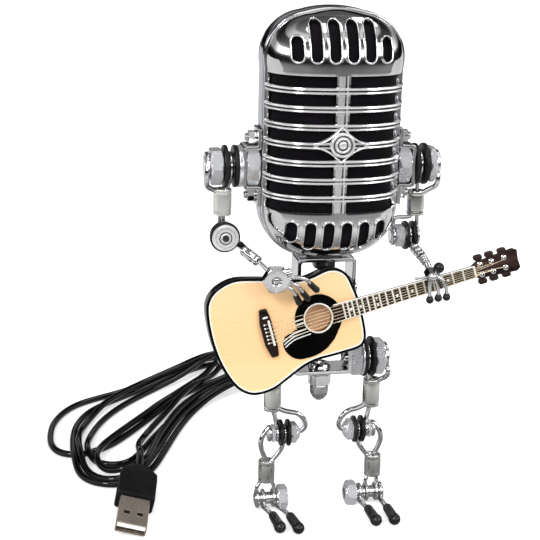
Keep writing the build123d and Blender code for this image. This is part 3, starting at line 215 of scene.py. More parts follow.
def arc3(p, q, r, n=10):
    """n points after p up to r on the circle through three points of a plane."""
    (ax, ay), (bx, by), (cx, cy) = p, q, r
    d = 2 * (ax * (by - cy) + bx * (cy - ay) + cx * (ay - by))
    if abs(d) < 1e-9:
        return [(ax + (cx - ax) * k / n, ay + (cy - ay) * k / n) for k in range(1, n + 1)]
    ux = ((ax * ax + ay * ay) * (by - cy) + (bx * bx + by * by) * (cy - ay) + (cx * cx + cy * cy) * (ay - by)) / d
    uy = ((ax * ax + ay * ay) * (cx - bx) + (bx * bx + by * by) * (ax - cx) + (cx * cx + cy * cy) * (bx - ax)) / d
    rad = math.hypot(ax - ux, ay - uy)
    a0, am, a1 = (math.atan2(y - uy, x - ux) for x, y in (p, q, r))
    turn = (a1 - a0) % (2 * math.pi)
    if (am - a0) % (2 * math.pi) > turn:
        turn -= 2 * math.pi
    return [(ux + rad * math.cos(a0 + turn * k / n), uy + rad * math.sin(a0 + turn * k / n)) for k in range(1, n + 1)]


def area2(loop):
    return sum(a[0] * b[1] - b[0] * a[1] for a, b in zip(loop, loop[1:] + loop[:1])) / 2


def shift(loop, d):
    """A closed loop moved d to its left."""
    out = []
    for i, p in enumerate(loop):
        a, b = loop[i - 1], loop[(i + 1) % len(loop)]
        e, f = (Vector(p) - Vector(a)).normalized(), (Vector(b) - Vector(p)).normalized()
        n = Vector((-e.y - f.y, e.x + f.x))
        if n.length < 1e-6:
            n = Vector((-e.y, e.x))
        n.normalize()
        c = max(0.5, n.dot(Vector((-e.y, e.x))))
        out.append((p[0] + n.x * d / c, p[1] + n.y * d / c))
    return out


def rounded(points, radius, n=5):
    """Closed polygon with every corner rounded."""
    out = []
    k = len(points)
    for i in range(k):
        r = radius[i] if isinstance(radius, (list, tuple)) else radius
        p, a, b = Vector(points[i]), Vector(points[i - 1]), Vector(points[(i + 1) % k])
        if r <= 0:
            out.append(tuple(p))
            continue
        u, v = (a - p), (b - p)
        half = u.angle(v) / 2
        cut = min(r / math.tan(half), 0.49 * u.length, 0.49 * v.length)
        s, e = p + u.normalized() * cut, p + v.normalized() * cut
        for j in range(n + 1):
            t = j / n
            out.append(tuple(s * (1 - t) ** 2 + p * 2 * t * (1 - t) + e * t * t))
    return out


class Shape:
    """Collects closed surfaces, in robot millimetres, into one mesh."""

    def __init__(self):
        self.v, self.f = [], []

    def rings(self, rings, closed=False, wrap=True):
        base = []
        for r in rings:
            base.append((len(self.v), len(r)))
            self.v += [Vector(p) for p in r]
        for (i, n), (j, m) in list(zip(base, base[1:])) + ([(base[-1], base[0])] if closed else []):
            k = max(n, m)
            if k == 1:
                continue
            for q in range(k if wrap else k - 1):
                w = (q + 1) % k
                if n == 1:
                    self.f.append((i, j + w, j + q))
                elif m == 1:
                    self.f.append((i + q, i + w, j))
                else:
                    self.f.append((i + q, i + w, j + w, j + q))

    def lathe(self, a, b, profile, seg=40, closed=False, notch=None, squash=1.0, hint=None):
        """Turned piece on the axis from a to b; profile is (distance from a, radius)."""
        a = Vector(a)
        x, y, z = basis(Vector(b) - a, hint)
        rings = []
        for t, r in profile:
            c = a + z * t
            if r < 1e-6:
                rings.append([c])
                continue
            ring = []
            for k in range(seg):
                q = 2 * math.pi * k / seg
                rr = r
                if notch and abs((q - notch[0] + math.pi) % (2 * math.pi) - math.pi) < notch[1]:
                    rr = r - notch[2]
                ring.append(c + x * (rr * math.cos(q)) + y * (rr * squash * math.sin(q)))
            rings.append(ring)
        self.rings(rings, closed)
        return self

    def rod(self, a, b, r, chamfer=0.2, seg=32):
        h = (Vector(b) - Vector(a)).length
        c = min(chamfer, h / 3, r / 2)
        return self.lathe(a, b, [(0, 0), (0, r - c), (c * 0.3, r - c * 0.3), (c, r), (h - c, r), (h - c * 0.3, r - c * 0.3), (h, r - c), (h, 0)], seg)

    def washer(self, a, b, outer, inner, edge=0.25, seg=56):
        h = (Vector(b) - Vector(a)).length
        e = min(edge, h * 0.45)
        p = [(0, inner + e * 0.4), (0, outer - e), (e * 0.3, outer - e * 0.3), (e, outer), (h - e, outer), (h - e * 0.3, outer - e * 0.3), (h, outer - e), (h, inner + e * 0.4), (h - e * 0.4, inner), (e * 0.4, inner)]
        return self.lathe(a, b, p, seg, closed=True)

    def hexa(self, a, b, flats, bore=0.0, corner=(0, 1, 0), both=True, seg=72):
        """Hexagon nut with the round chamfer on its faces."""
        a, b = Vector(a), Vector(b)
        x, y, z = basis(b - a, corner)
        h, inner = (b - a).length, flats / 2
        big = inner / math.cos(math.pi / 6)
        face = inner * 0.955
        c = min((big - face) * 0.58, h * 0.42)
        levels = [0, c * 0.35, c * 0.7, c, h - c, h - c * 0.7, h - c * 0.35, h]
        rings = [[a]] if bore <= 0 else [[a + z * 0.35 + (x * math.cos(2 * math.pi * k / seg) + y * math.sin(2 * math.pi * k / seg)) * bore for k in range(seg)],
                                         [a + (x * math.cos(2 * math.pi * k / seg) + y * math.sin(2 * math.pi * k / seg)) * (bore + 0.35) for k in range(seg)]]
        for t in levels:
            ring = []
            for k in range(seg):
                q = 2 * math.pi * k / seg
                m = (q + math.pi / 6) % (math.pi / 3) - math.pi / 6
                flat = inner / math.cos(math.pi / 6 - abs(m))
                limit = min(face + (t if both or t > h / 2 else 99) * (big - face) / c, face + (h - t) * (big - face) / c)
                r = min(flat, limit)
                ring.append(a + z * t + (x * math.cos(q) + y * math.sin(q)) * r)
            rings.append(ring)
        if bore <= 0:
            rings.append([b])
            self.rings(rings)
        else:
            rings.append([b + (x * math.cos(2 * math.pi * k / seg) + y * math.sin(2 * math.pi * k / seg)) * (bore + 0.35) for k in range(seg)])
            rings.append([b - z * 0.35 + (x * math.cos(2 * math.pi * k / seg) + y * math.sin(2 * math.pi * k / seg)) * bore for k in range(seg)])
            self.rings(rings, closed=True)
        return self

    def thread(self, a, b, r, pitch=1.0, depth=0.28, seg=32):
        h = (Vector(b) - Vector(a)).length
        p = [(0, 0), (0, r - depth - 0.2)]
        t = 0.25
        while t + pitch < h:
            p += [(t, r - depth), (t + pitch * 0.4, r), (t + pitch * 0.55, r)]
            t += pitch
        p += [(h - 0.25, r - depth), (h, r - depth - 0.25), (h, 0)]
        return self.lathe(a, b, p, seg)

    def tube(self, pts, r, seg=14, n=8, cap=True, closed=False, straight=False, squash=1.0, hint=None):
        """Round wire along a smooth path; r is a number or a function of the share of its length."""
        path = [Vector(p) for p in pts] if straight or closed else smooth_path(pts, n)
        k = len(path)
        rad = r if callable(r) else (lambda s: r)
        rings, x = [], None
        for i, p in enumerate(path):
            d = (path[(i + 1) % k] - path[i - 1]) if closed or 0 < i < k - 1 else (path[1] - path[0] if i == 0 else path[-1] - path[-2])
            d.normalize()
            if x is None:
                x = basis(d, hint)[0]
            x = (x - d * x.dot(d)).normalized()
            y = d.cross(x)
            q = rad(i / max(1, k - 1))
            rings.append([p + (x * math.cos(2 * math.pi * j / seg) + y * math.sin(2 * math.pi * j / seg) * squash) * q for j in range(seg)])
        if closed:
            self.rings(rings, closed=True)
            return self
        if cap:
            d0, d1 = (path[0] - path[1]).normalized(), (path[-1] - path[-2]).normalized()
            r0, r1 = rad(0.0), rad(1.0)
            first = [[path[0] + d0 * r0 * 0.55], [path[0] + (v - path[0]) * 0.7 + d0 * r0 * 0.4 for v in rings[0]]]
            last = [[path[-1] + (v - path[-1]) * 0.7 + d1 * r1 * 0.4 for v in rings[-1]], [path[-1] + d1 * r1 * 0.55]]
            rings = first + rings + last
        self.rings(rings)
        return self

    def torus(self, c, axis, big, r, seg=48, sub=14, squash=1.0):
        x, y, z = basis(axis)
        c = Vector(c)
        rings = []
        for k in range(seg):
            q = 2 * math.pi * k / seg
            d = x * math.cos(q) + y * math.sin(q)
            rings.append([c + d * (big + r * math.cos(2 * math.pi * j / sub)) + z * (r * squash * math.sin(2 * math.pi * j / sub)) for j in range(sub)])
        self.rings(rings, closed=True)
        return self

    def ball(self, c, r, axis=(0, 0, 1), seg=32, squash=1.0):
        c = Vector(c)
        n = seg // 2
        x, y, z = basis(axis)
        rings = [[c - z * r * squash]]
        for i in range(1, n):
            q = math.pi * i / n
            rings.append([c - z * (r * squash * math.cos(q)) + (x * math.cos(2 * math.pi * k / seg) + y * math.sin(2 * math.pi * k / seg)) * (r * math.sin(q)) for k in range(seg)])
        rings.append([c + z * r * squash])
        self.rings(rings)
        return self

    def slab(self, loop, o, x, y, z, h0, h1, bevel=0.15, holes=(), place=None, low=True):
        """Plate of a plane outline between two heights, with rounded edges; place maps (u, v, h) to a point."""
        o, x, y, z = (Vector(q) for q in (o, x, y, z))
        place = place or (lambda u, v, h: o + x * u + y * v + z * h)
        loops = [list(loop) if area2(list(loop)) > 0 else list(loop)[::-1]]
        loops += [list(h) if area2(list(h)) < 0 else list(h)[::-1] for h in holes]
        b = min(bevel, (h1 - h0) * 0.49)
        quarter = [(math.sin(math.radians(q)), math.cos(math.radians(q))) for q in (0, 30, 60, 90)]
        top = [(h1 - b * (1 - s), b * (1 - c)) for s, c in quarter]
        levels = ([(h0 + b * (1 - s), b * (1 - c)) for s, c in quarter[::-1]] if low else [(h0, 0.0)]) + top
        ends = []
        for lp in loops:
            at = []
            for h, d in levels:
                at.append(len(self.v))
                ring = shift(lp, d) if d > 1e-9 else lp
                self.v += [place(p[0], p[1], h) for p in ring]
            for i, j in zip(at, at[1:]):
                k = len(lp)
                for q in range(k):
                    w = (q + 1) % k
                    self.f.append((i + q, i + w, j + w, j + q))
            ends.append((at[0], at[-1], len(lp)))
        for which, (h, d) in ((0, levels[0]), (1, levels[-1])):
            flat, index = [], []
            for lp, e in zip(loops, ends):
                ring = shift(lp, d) if d > 1e-9 else lp
                flat.append([Vector((p[0], p[1], 0)) for p in ring])
                index += list(range(e[which], e[which] + e[2]))
            for tri in tessellate_polygon(flat):
                self.f.append(tuple(index[q] for q in tri))
        return self

    def block(self, c, size, axes=((1, 0, 0), (0, 1, 0), (0, 0, 1)), edge=0.3):
        """Box with rounded edges, its size along three axes."""
        w, d, h = size
        loop = rounded([(-w / 2, -d / 2), (w / 2, -d / 2), (w / 2, d / 2), (-w / 2, d / 2)], edge * 1.4, 4)
        return self.slab(loop, c, axes[0], axes[1], axes[2], -h / 2, h / 2, edge)

    def make(self, name, slot, node=None, body=None, sharp=32.0, mat=None, weighted=True):
        me = bpy.data.meshes.new(name)
        me.from_pydata([row(p) for p in self.v], [], self.f)
        bm = bmesh.new()
        bm.from_mesh(me)
        bmesh.ops.remove_doubles(bm, verts=bm.verts, dist=1e-7)
        bmesh.ops.dissolve_degenerate(bm, edges=bm.edges, dist=1e-8)
        bmesh.ops.recalc_face_normals(bm, faces=bm.faces)
        bm.to_mesh(me)
        bm.free()
        for p in me.polygons:
            p.use_smooth = True
        me.set_sharp_from_angle(angle=math.radians(sharp))
        ob = bpy.data.objects.new(name, me)
        scene.collection.objects.link(ob)
        me.materials.append(MAT[mat or slot])
        if weighted:
            w = ob.modifiers.new("weighted_normal", "WEIGHTED_NORMAL")
            w.keep_sharp = True
        settle(ob, node, body)
        return ob


def settle(ob, node=None, body=None):
    nodes = (node,) if isinstance(node, str) else tuple(node or ())
    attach(ob, body or frame["nodes"][nodes[0]]["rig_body"])
    if nodes:
        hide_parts(*nodes)


# ----------------------------------------------------------------------- cable
# strain relief, down behind the robot, five loose turns on the floor, and up
# to the plug; the run and lead points of the solids, in millimetres,
# with the far turns moved up to 8 mm nearer
ROUTE = (
    (0, 0, 84), (0, 3, 70), (-1, 24, 56), (-4, 58, 38), (-7, 92, 19), (-7, 118, 8.2), (-5.5, 135.7, 3.4),
    (-4.5, 147.5, 1.6), (-6.3, 159, 1.6), (-15.5, 164.6, 1.6), (-26.5, 159, 1.6), (-38, 149.4, 1.6),
    (-56, 139.7, 1.6), (-68, 129.5, 1.6), (-81, 122.5, 1.6), (-90.5, 116, 1.6), (-97.5, 106.5, 1.6),
    (-102.5, 94, 1.6), (-104.3, 81, 1.6), (-104.3, 69, 1.6), (-101, 60.5, 1.6), (-93.5, 57, 1.6), (-85.5, 60, 1.6),
    (-77.5, 66.5, 1.6), (-69.5, 77, 1.6), (-60, 91, 1.6), (-50.5, 105.5, 1.6), (-41, 119.9, 1.6), (-29, 131.3, 1.6),
    (-15, 141.4, 2.2), (-3, 151.1, 4.2), (1.5, 160.5, 1.9), (-2, 169, 1.6), (-10.5, 172, 1.6), (-19, 168, 3.3),
    (-28.5, 156.1, 4.5), (-42, 143.9, 3.4), (-57, 132.4, 1.6), (-70, 121.5, 1.6), (-79.5, 113, 1.6),
    (-87.5, 102.5, 1.6), (-92.8, 88, 1.6), (-94.8, 69, 3.2), (-95, 50, 3.8), (-93.5, 36.5, 1.6), (-87.5, 28, 1.6),
    (-78.5, 25, 1.6), (-69.5, 28.2, 1.6), (-61.8, 39.5, 1.6), (-56, 54, 1.6), (-50, 70, 1.6), (-43.5, 86, 1.6),
    (-35.5, 102, 1.6), (-24, 116, 4), (-8, 125.8, 7.4), (6, 135, 5.2), (17, 145, 1.6), (19, 159, 1.6), (12, 172, 1.6),
    (-2, 178, 1.8), (-14, 172.5, 4.6), (-24.5, 160, 7.3), (-38, 146.8, 6.9), (-55, 135.7, 4.5), (-68, 122.5, 4.5),
    (-78, 111, 3.6), (-85, 98.5, 1.6), (-90, 84, 2.2), (-92.5, 68, 4.8), (-92.3, 52, 5.4), (-91, 40, 2.1),
    (-85.3, 31, 1.6), (-76.5, 28.2, 2.6), (-68, 32.6, 3.7), (-62.8, 44.5, 3.2), (-57.5, 58, 2.6), (-51.5, 74, 3),
    (-45, 88, 3.8), (-37, 101.5, 4.4), (-24, 115, 7.2), (-8, 129, 7.4), (5, 140.2, 4.4), (12, 152, 1.6),
    (11, 165, 1.6), (2, 174, 2.2), (-9, 173, 4.9), (-20.5, 160.5, 7.4), (-36, 143.8, 3.6), (-52, 131.1, 1.6),
    (-65, 117, 1.6), (-75, 103.5, 1.6), (-82.5, 89, 1.6), (-87.5, 73, 1.9), (-89.3, 58, 4.2), (-86.5, 47.5, 2.1),
    (-78.5, 44, 1.6), (-71, 47, 1.6), (-65.5, 56.5, 1.6), (-60, 68.5, 1.6), (-53, 82, 1.6), (-45.5, 96.5, 1.6),
    (-35, 112, 1.6), (-21, 127.4, 1.6), (-7, 139.5, 5), (2.5, 148.4, 3.2), (5.8, 157, 2.6), (1, 165.6, 4.4),
    (-8.3, 167.4, 3.6), (-16, 161, 4), (-24, 147.5, 1.6), (-33, 136.2, 1.6), (-43, 122.7, 1.6), (-52, 108, 3.2),
    (-60, 94.5, 3.8), (-69, 81, 4.1), (-77, 68.5, 4.5), (-83.8, 58, 4), (-86.2, 47, 4.3), (-82.6, 37, 2.4),
    (-74.3, 33, 5.1), (-66, 36.8, 6.4), (-62, 48, 5.7), (-58, 62, 5.2), (-51.5, 78, 5.7), (-44, 93.5, 6.6),
    (-34, 108.5, 6.5), (-20, 122.5, 7.4), (-6, 133.9, 7.4), (6, 144.2, 4.9), (8.5, 153.5, 4), (3.2, 161.5, 6.1),
    (-5.8, 163, 5), (-13.5, 157, 3.6), (-21, 144.6, 1.6), (-31, 130.7, 4.3), (-40, 117, 3.9), (-49, 101, 1.6),
    (-56.5, 86.5, 1.6), (-62.5, 73.5, 1.6), (-66, 61, 4.1), (-67.2, 50, 6.8), (-67.5, 40, 9.4), (-68.4, 30.5, 9.6),
    (-70.3, 19.6, 7.9),
)
CABLE_R = 1.5


def cable():
    cu = bpy.data.curves.new("cable_cord", "CURVE")
    cu.dimensions = "3D"
    sp = cu.splines.new("NURBS")
    sp.points.add(len(ROUTE) - 1)
    for q, p in zip(sp.points, ROUTE):
        q.co = (*row(p), 1.0)
    sp.order_u = 3
    sp.use_endpoint_u = True
    sp.resolution_u = 8
    cu.bevel_depth = CABLE_R / 1000.0
    cu.bevel_resolution = 5
    cu.use_fill_caps = True
    ob = bpy.data.objects.new("cable_cord", cu)
    scene.collection.objects.link(ob)
    cu.materials.append(MAT["cable_black"])
    settle(ob, ("cable_run", "cable_hank", "cable_plug_lead"))
    return ob


cord = cable()

relief = Shape()
prof = [(0, 0), (0, 2.3), (0.25, 2.6), (2.2, 2.6), (2.5, 2.35)]
for k in range(5):
    t = 3.0 + k * 2.1
    r = 2.5 - 0.11 * k
    prof += [(t, r - 0.55), (t + 0.55, r - 0.55), (t + 0.7, r - 0.08), (t + 0.85, r), (t + 1.55, r - 0.03), (t + 1.7, r - 0.1)]
prof += [(13.9, 1.8), (14.5, 1.72), (14.6, 1.5), (14.6, 0)]
relief.lathe((0, 0, 98.2), (0, 0, 83.6), prof, 36)
relief_ob = relief.make("cable_strain_relief_boot", "plug_black", "cable_strain_relief")

# USB-A plug
c6, s6 = math.cos(math.radians(6)), math.sin(math.radians(6))
UB = Vector((0.171 * c6, 0.985 * c6, s6)).normalized()
side = UB.cross(Vector((0, 0, 1))).normalized()
lift = side.cross(UB).normalized()
roll = math.radians(13)
UX = (side * math.cos(roll) - lift * math.sin(roll)).normalized()
UY = UB.cross(UX)
UO = Vector((-77.0, -19.1, 3.7))


def up(a, b, t):
    return UO + UX * a + UY * b + UB * t


body = Shape()
levels = [(18.75, 14.7, 7.2), (18.95, 15.2, 7.7), (19.3, 15.5, 8.0), (24.0, 15.5, 8.0), (33.0, 15.5, 8.0), (36.6, 15.3, 7.9), (37.5, 14.6, 7.8), (40.6, 10.4, 7.0), (42.6, 7.8, 6.2), (44.4, 5.6, 5.0), (45.0, 4.6, 4.4), (45.2, 3.6, 3.4)]
rings = []
for t, w, h in levels:
    loop = rounded([(-w / 2, -h / 2), (w / 2, -h / 2), (w / 2, h / 2), (-w / 2, h / 2)], min(1.5, h / 2.4), 5)
    rings.append([up(a, b, t) for a, b in loop])
rings = [[up(0, 0, 18.75)]] + rings + [[up(0, 0, 45.2)]]
body.rings(rings)
# a thin parting line on both narrow sides
body.tube([up(-7.76, 0, 19.6), up(-7.76, 0, 33.0)], 0.09, 6)
body.tube([up(7.76, 0, 19.6), up(7.76, 0, 33.0)], 0.09, 6)
plug_ob = body.make("usb_plug_overmould", "plug_black", "usb_plug_body", sharp=40)

shell = Shape()


def box_loop(w, h, r):
    return rounded([(-w / 2, -h / 2), (w / 2, -h / 2), (w / 2, h / 2), (-w / 2, h / 2)], r, 5)


lp = [(0.0, 11.7, 4.2, 11.4, 3.9)]
outer = [(0.0, 11.75, 4.25), (0.25, 12.0, 4.5), (18.75, 12.0, 4.5)]
inner = [(18.75, 11.4, 3.9), (0.15, 11.4, 3.9), (0.0, 11.6, 4.1)]
shell.rings([[up(a, b, t) for a, b in box_loop(w, h, 0.6)] for t, w, h in outer] + [[up(a, b, t) for a, b in box_loop(w, h, 0.45)] for t, w, h in inner], closed=True)
# turned-in lip at the mouth
shell.tube([up(a, b, 0.2) for a, b in box_loop(11.7, 4.2, 0.6)], 0.24, 8, closed=True)
shell_ob = shell.make("usb_plug_steel_shell", "plug_shell", "usb_plug_shell", sharp=40)
# two latch windows on each flat side, drawn as dark patches set into the shell's wall, painted shade in place of the
# holes' dark insides, with a bright rim
windows = Shape()
rims = Shape()
for s in (-1, 1):
    for a in (-2.6, 2.6):
        loop = rounded([(a - 1.2, 6.3), (a + 1.2, 6.3), (a + 1.2, 8.9), (a - 1.2, 8.9)], 0.25, 3)
        windows.slab(loop, UO, UX, UB, UY * s, 2.0, 2.27, 0.02)
        rims.tube([UO + UX * p[0] + UB * p[1] + UY * (s * 2.25) for p in shift(loop, -0.06)], 0.13, 8, closed=True)
windows_ob = windows.make("usb_shell_windows", "rubber", body="lamp")
rims_ob = rims.make("usb_shell_window_rims", "plug_shell", body="lamp")
# tongue with four contacts
tongue = Shape()
tongue.slab(box_loop(11.2, 1.9, 0.3), UO - UY * 0.85, UX, UY, UB, 0.35, 18.7, 0.2)
tongue_ob = tongue.make("usb_tongue", "ivory", body="lamp")
pins = Shape()
for a in (-3.5, -1.0, 1.0, 3.5):
    pins.block(up(a, 0.16, 6.0 if abs(a) < 2 else 5.6), (0.9, 7.4 if abs(a) < 2 else 8.4, 0.16), (UX, UB, UY), 0.06)
pins_ob = pins.make("usb_contacts", "brass", body="lamp", mat="gold")
# folded seam along the shell's middle, on the side towards the floor
seam = Shape()
seam.tube([up(0, -2.24, 0.6), up(0, -2.24, 18.6)], 0.1, 8)
seam_ob = seam.make("usb_shell_seam", "plug_shell", body="lamp")

# ------------------------------------------------------------- microphone head
FRONT = [(0.0, 106.8), (9.0, 106.8)]
FRONT += arc3((9.0, 106.8), (21.2, 112.6), (26.5, 126.0), 22)
FRONT += [(26.5, 126.0 + 52.0 * k / 12) for k in range(1, 13)]
FRONT += arc3((26.5, 178.0), (23.2, 192.4), (12.0, 198.9), 26)
FRONT += arc3((12.0, 198.9), (6.0, 200.2), (0.0, 200.6), 8)
SIDE = [(6.0, 106.8)] + arc3((6.0, 106.8), (15.8, 111.6), (20.2, 122.0), 20) + [(20.2, 180.0)]
SIDE += arc3((20.2, 180.0), (14.6, 194.4), (0.0, 200.6), 30)


def inset_profile(points, d):
    out = []
    for i, p in enumerate(points):
        a = Vector(points[max(0, i - 1)])
        b = Vector(points[min(len(points) - 1, i + 1)])
        t = (b - a).normalized()
        out.append((p[0] - t.y * d, p[1] + t.x * d))
    return out


def table(points):
    pts = sorted(points, key=lambda p: p[1])

    def f(z):
        if z <= pts[0][1]:
            return pts[0][0]
        for a, b in zip(pts, pts[1:]):
            if a[1] <= z <= b[1]:
                if b[1] - a[1] < 1e-9:
                    return max(a[0], b[0])
                return a[0] + (b[0] - a[0]) * (z - a[1]) / (b[1] - a[1])
        return pts[-1][0]
    return f


N_PLAN = 2.6
BANDS = [(177.1 - 3.95 - i * 6.61, 177.1 - i * 6.61) for i in range(8)]
SLOTS = []
for x in (-16.5, -9.9, -3.3, 3.3, 9.9, 16.5):
    SLOTS.append((x, 181.9, 190.8 if abs(x) > 12 else 196.6))
    SLOTS.append((x * 1.03, 115.0 if abs(x) > 12 else 112.2, 123.2))
SLOT_R = 2.1


def rib_relief(z):
    """How far the bars between the bands stand proud: two rounded ridges with a groove between."""
    for (lo, hi), (lo2, hi2) in zip(BANDS, BANDS[1:]):
        if hi2 < z < lo:
            s = (z - hi2) / (lo - hi2)
            if s < 0.40:
                return 0.50 * math.sin(math.pi * s / 0.40) ** 0.7
            if s > 0.50:
                return 0.72 * math.sin(math.pi * (s - 0.50) / 0.50) ** 0.7
            return -0.12
    return 0.0


class Head:
    def __init__(self, inset):
        self.w = table(inset_profile([p for p in FRONT if p[0] > 1e-6], 0.6 + inset))
        self.d = table(inset_profile(SIDE, inset))
        self.lo, self.hi = 107.45 + inset, 199.85 - inset

    def y(self, x, z):
        w, d = self.w(z), self.d(z)
        k = min(1.0, abs(x) / w)
        return d * (1 - k ** N_PLAN) ** (1 / N_PLAN)

    def x(self, y, z):
        w, d = self.w(z), self.d(z)
        k = min(1.0, abs(y) / d)
        return w * (1 - k ** N_PLAN) ** (1 / N_PLAN)

    def levels(self):
        zs = [self.lo]
        zs += [p[1] for p in arc3((6.0, 106.8), (15.8, 111.6), (20.2, 122.0), 26) if self.lo + 0.1 < p[1] < BANDS[-1][0] - 0.3]
        zs += [BANDS[-1][0] - 2.4, BANDS[-1][0] - 1.2]
        for i in range(len(BANDS) - 1, -1, -1):
            lo, hi = BANDS[i]
            zs += [lo + (hi - lo) * k / 4 for k in range(5)]
            if i:
                top = BANDS[i - 1][0]
                zs += [hi + (top - hi) * s for s in (0.03, 0.08, 0.14, 0.20, 0.27, 0.33, 0.38, 0.41, 0.45, 0.49, 0.52, 0.57, 0.63, 0.70, 0.77, 0.84, 0.90, 0.94, 0.97)]
        zs += [178.2, 179.2]
        zs += [p[1] for p in arc3((20.2, 180.0), (14.6, 194.4), (0.0, 200.6), 44) if 179.9 < p[1] < self.hi - 0.1]
        zs.append(self.hi)
        return sorted(set(round(z, 4) for z in zs))


def head_surface(side, inset, cols, openings, relief=True, y0=4.5):
    """One half of the head as an open sheet from hoop to hoop; side is -1 for the front."""
    head = Head(inset)
    zs = head.levels()
    bm = bmesh.new()
    grid = []
    for z in zs:
        w, d = head.w(z), max(head.d(z), y0 + 0.05)
        s0 = math.asin(min(1.0, (y0 / d) ** (N_PLAN / 2)))
        e = rib_relief(z) if relief else 0.0
        line = []
        for k in range(cols + 1):
            q = s0 + (math.pi - 2 * s0) * k / cols
            x = math.copysign(w * abs(math.cos(q)) ** (2 / N_PLAN), math.cos(q))
            y = d * math.sin(q) ** (2 / N_PLAN)
            line.append([x, y, z, e])
        grid.append(line)
    verts = [[bm.verts.new((p[0], p[1], p[2])) for p in line] for line in grid]
    opening_of = {}

    def opening(x, y, z):
        if abs(x) > 2.1 and y > 6.4:
            for i, (lo, hi) in enumerate(BANDS):
                if lo < z < hi:
                    return ("band", i)
        for i, (sx, lo, hi) in enumerate(SLOTS):
            if abs(x - sx) < SLOT_R and lo < z < hi and y > 5.0:
                cz = min(max(z, lo + SLOT_R), hi - SLOT_R)
                if math.hypot(x - sx, z - cz) < SLOT_R:
                    return ("slot", i)
        return None

    gone = set()
    for i in range(len(zs) - 1):
        for k in range(cols):
            c = [sum(grid[a][b][j] for a, b in ((i, k), (i, k + 1), (i + 1, k), (i + 1, k + 1))) / 4 for j in range(3)]
            o = opening(*c) if openings else None
            if o:
                gone.add((i, k))
                for a, b in ((i, k), (i, k + 1), (i + 1, k), (i + 1, k + 1)):
                    opening_of[(a, b)] = o
    for i in range(len(zs) - 1):
        for k in range(cols):
            if (i, k) not in gone:
                bm.faces.new((verts[i][k], verts[i][k + 1], verts[i + 1][k + 1], verts[i + 1][k]))
    for (i, k), o in opening_of.items():
        x, y, z, e = grid[i][k]
        if o[0] == "slot":
            sx, lo, hi = SLOTS[o[1]]
            cz = min(max(z, lo + SLOT_R), hi - SLOT_R)
            v = Vector((x - sx, z - cz))
            if v.length > 1e-6:
                v = v.normalized() * SLOT_R
                x, z = sx + v.x, cz + v.y
                y = head.y(x, z)
        else:
            if y < 6.4 or abs(y - 6.4) < 0.35:
                y = 6.4
                x = math.copysign(head.x(6.4, z), x)
            elif abs(x) < 2.5:
                x = math.copysign(2.1, x)
                y = head.y(x, z)
        grid[i][k] = [x, y, z, e]
    for i, line in enumerate(grid):
        for k, (x, y, z, e) in enumerate(line):
            w, d = head.w(z), max(head.d(z), 5.0)
            n = Vector((math.copysign((abs(x) / w) ** (N_PLAN - 1) / w, x), (y / d) ** (N_PLAN - 1) / d)).normalized()
            fade = min(1.0, max(0.0, (y - y0) / 1.4))
            x, y = x + n.x * e * fade, y + n.y * e * fade
            verts[i][k].co = row((x, side * y, z))
    loose = [v for v in bm.verts if not v.link_faces]
    bmesh.ops.delete(bm, geom=loose, context="VERTS")
    if side < 0:
        bmesh.ops.reverse_faces(bm, faces=bm.faces)
    return bm


def head_piece(name, side, inset, cols, openings, thick, slot, node, bevel=True):
    bm = head_surface(side, inset, cols, openings)
    me = bpy.data.meshes.new(name)
    bm.to_mesh(me)
    bm.free()
    for p in me.polygons:
        p.use_smooth = True
    ob = bpy.data.objects.new(name, me)
    scene.collection.objects.link(ob)
    me.materials.append(MAT[slot])
    so = ob.modifiers.new("wall", "SOLIDIFY")
    so.thickness = thick / 1000.0
    so.offset = -1.0
    if bevel:
        be = ob.modifiers.new("edges", "BEVEL")
        be.width, be.segments, be.limit_method, be.angle_limit = 0.00022, 2, "ANGLE", math.radians(50)
        be.use_clamp_overlap = True
    settle(ob, node)
    return ob


COLS = 116
head_piece("head_front_grille", -1, 0.0, COLS, True, 1.3, "chrome", "mic_front_grille")
head_piece("head_rear_grille", 1, 0.0, COLS, True, 1.3, "chrome", "mic_rear_grille")
head_front = Head(0.0)

# black cloth behind the openings, one closed sheet each side
for side_name, side in (("front", -1), ("rear", 1)):
    bm = head_surface(side, 1.9, 60, False, relief=False, y0=4.9)
    me = bpy.data.meshes.new("grille_cloth_" + side_name)
    bm.to_mesh(me)
    bm.free()
    for p in me.polygons:
        p.use_smooth = True
    ob = bpy.data.objects.new("grille_cloth_" + side_name, me)
    scene.collection.objects.link(ob)
    me.materials.append(MAT["liner"])
    so = ob.modifiers.new("wall", "SOLIDIFY")
    so.thickness, so.offset = 0.0005, -1.0
    settle(ob, "grille_liners")

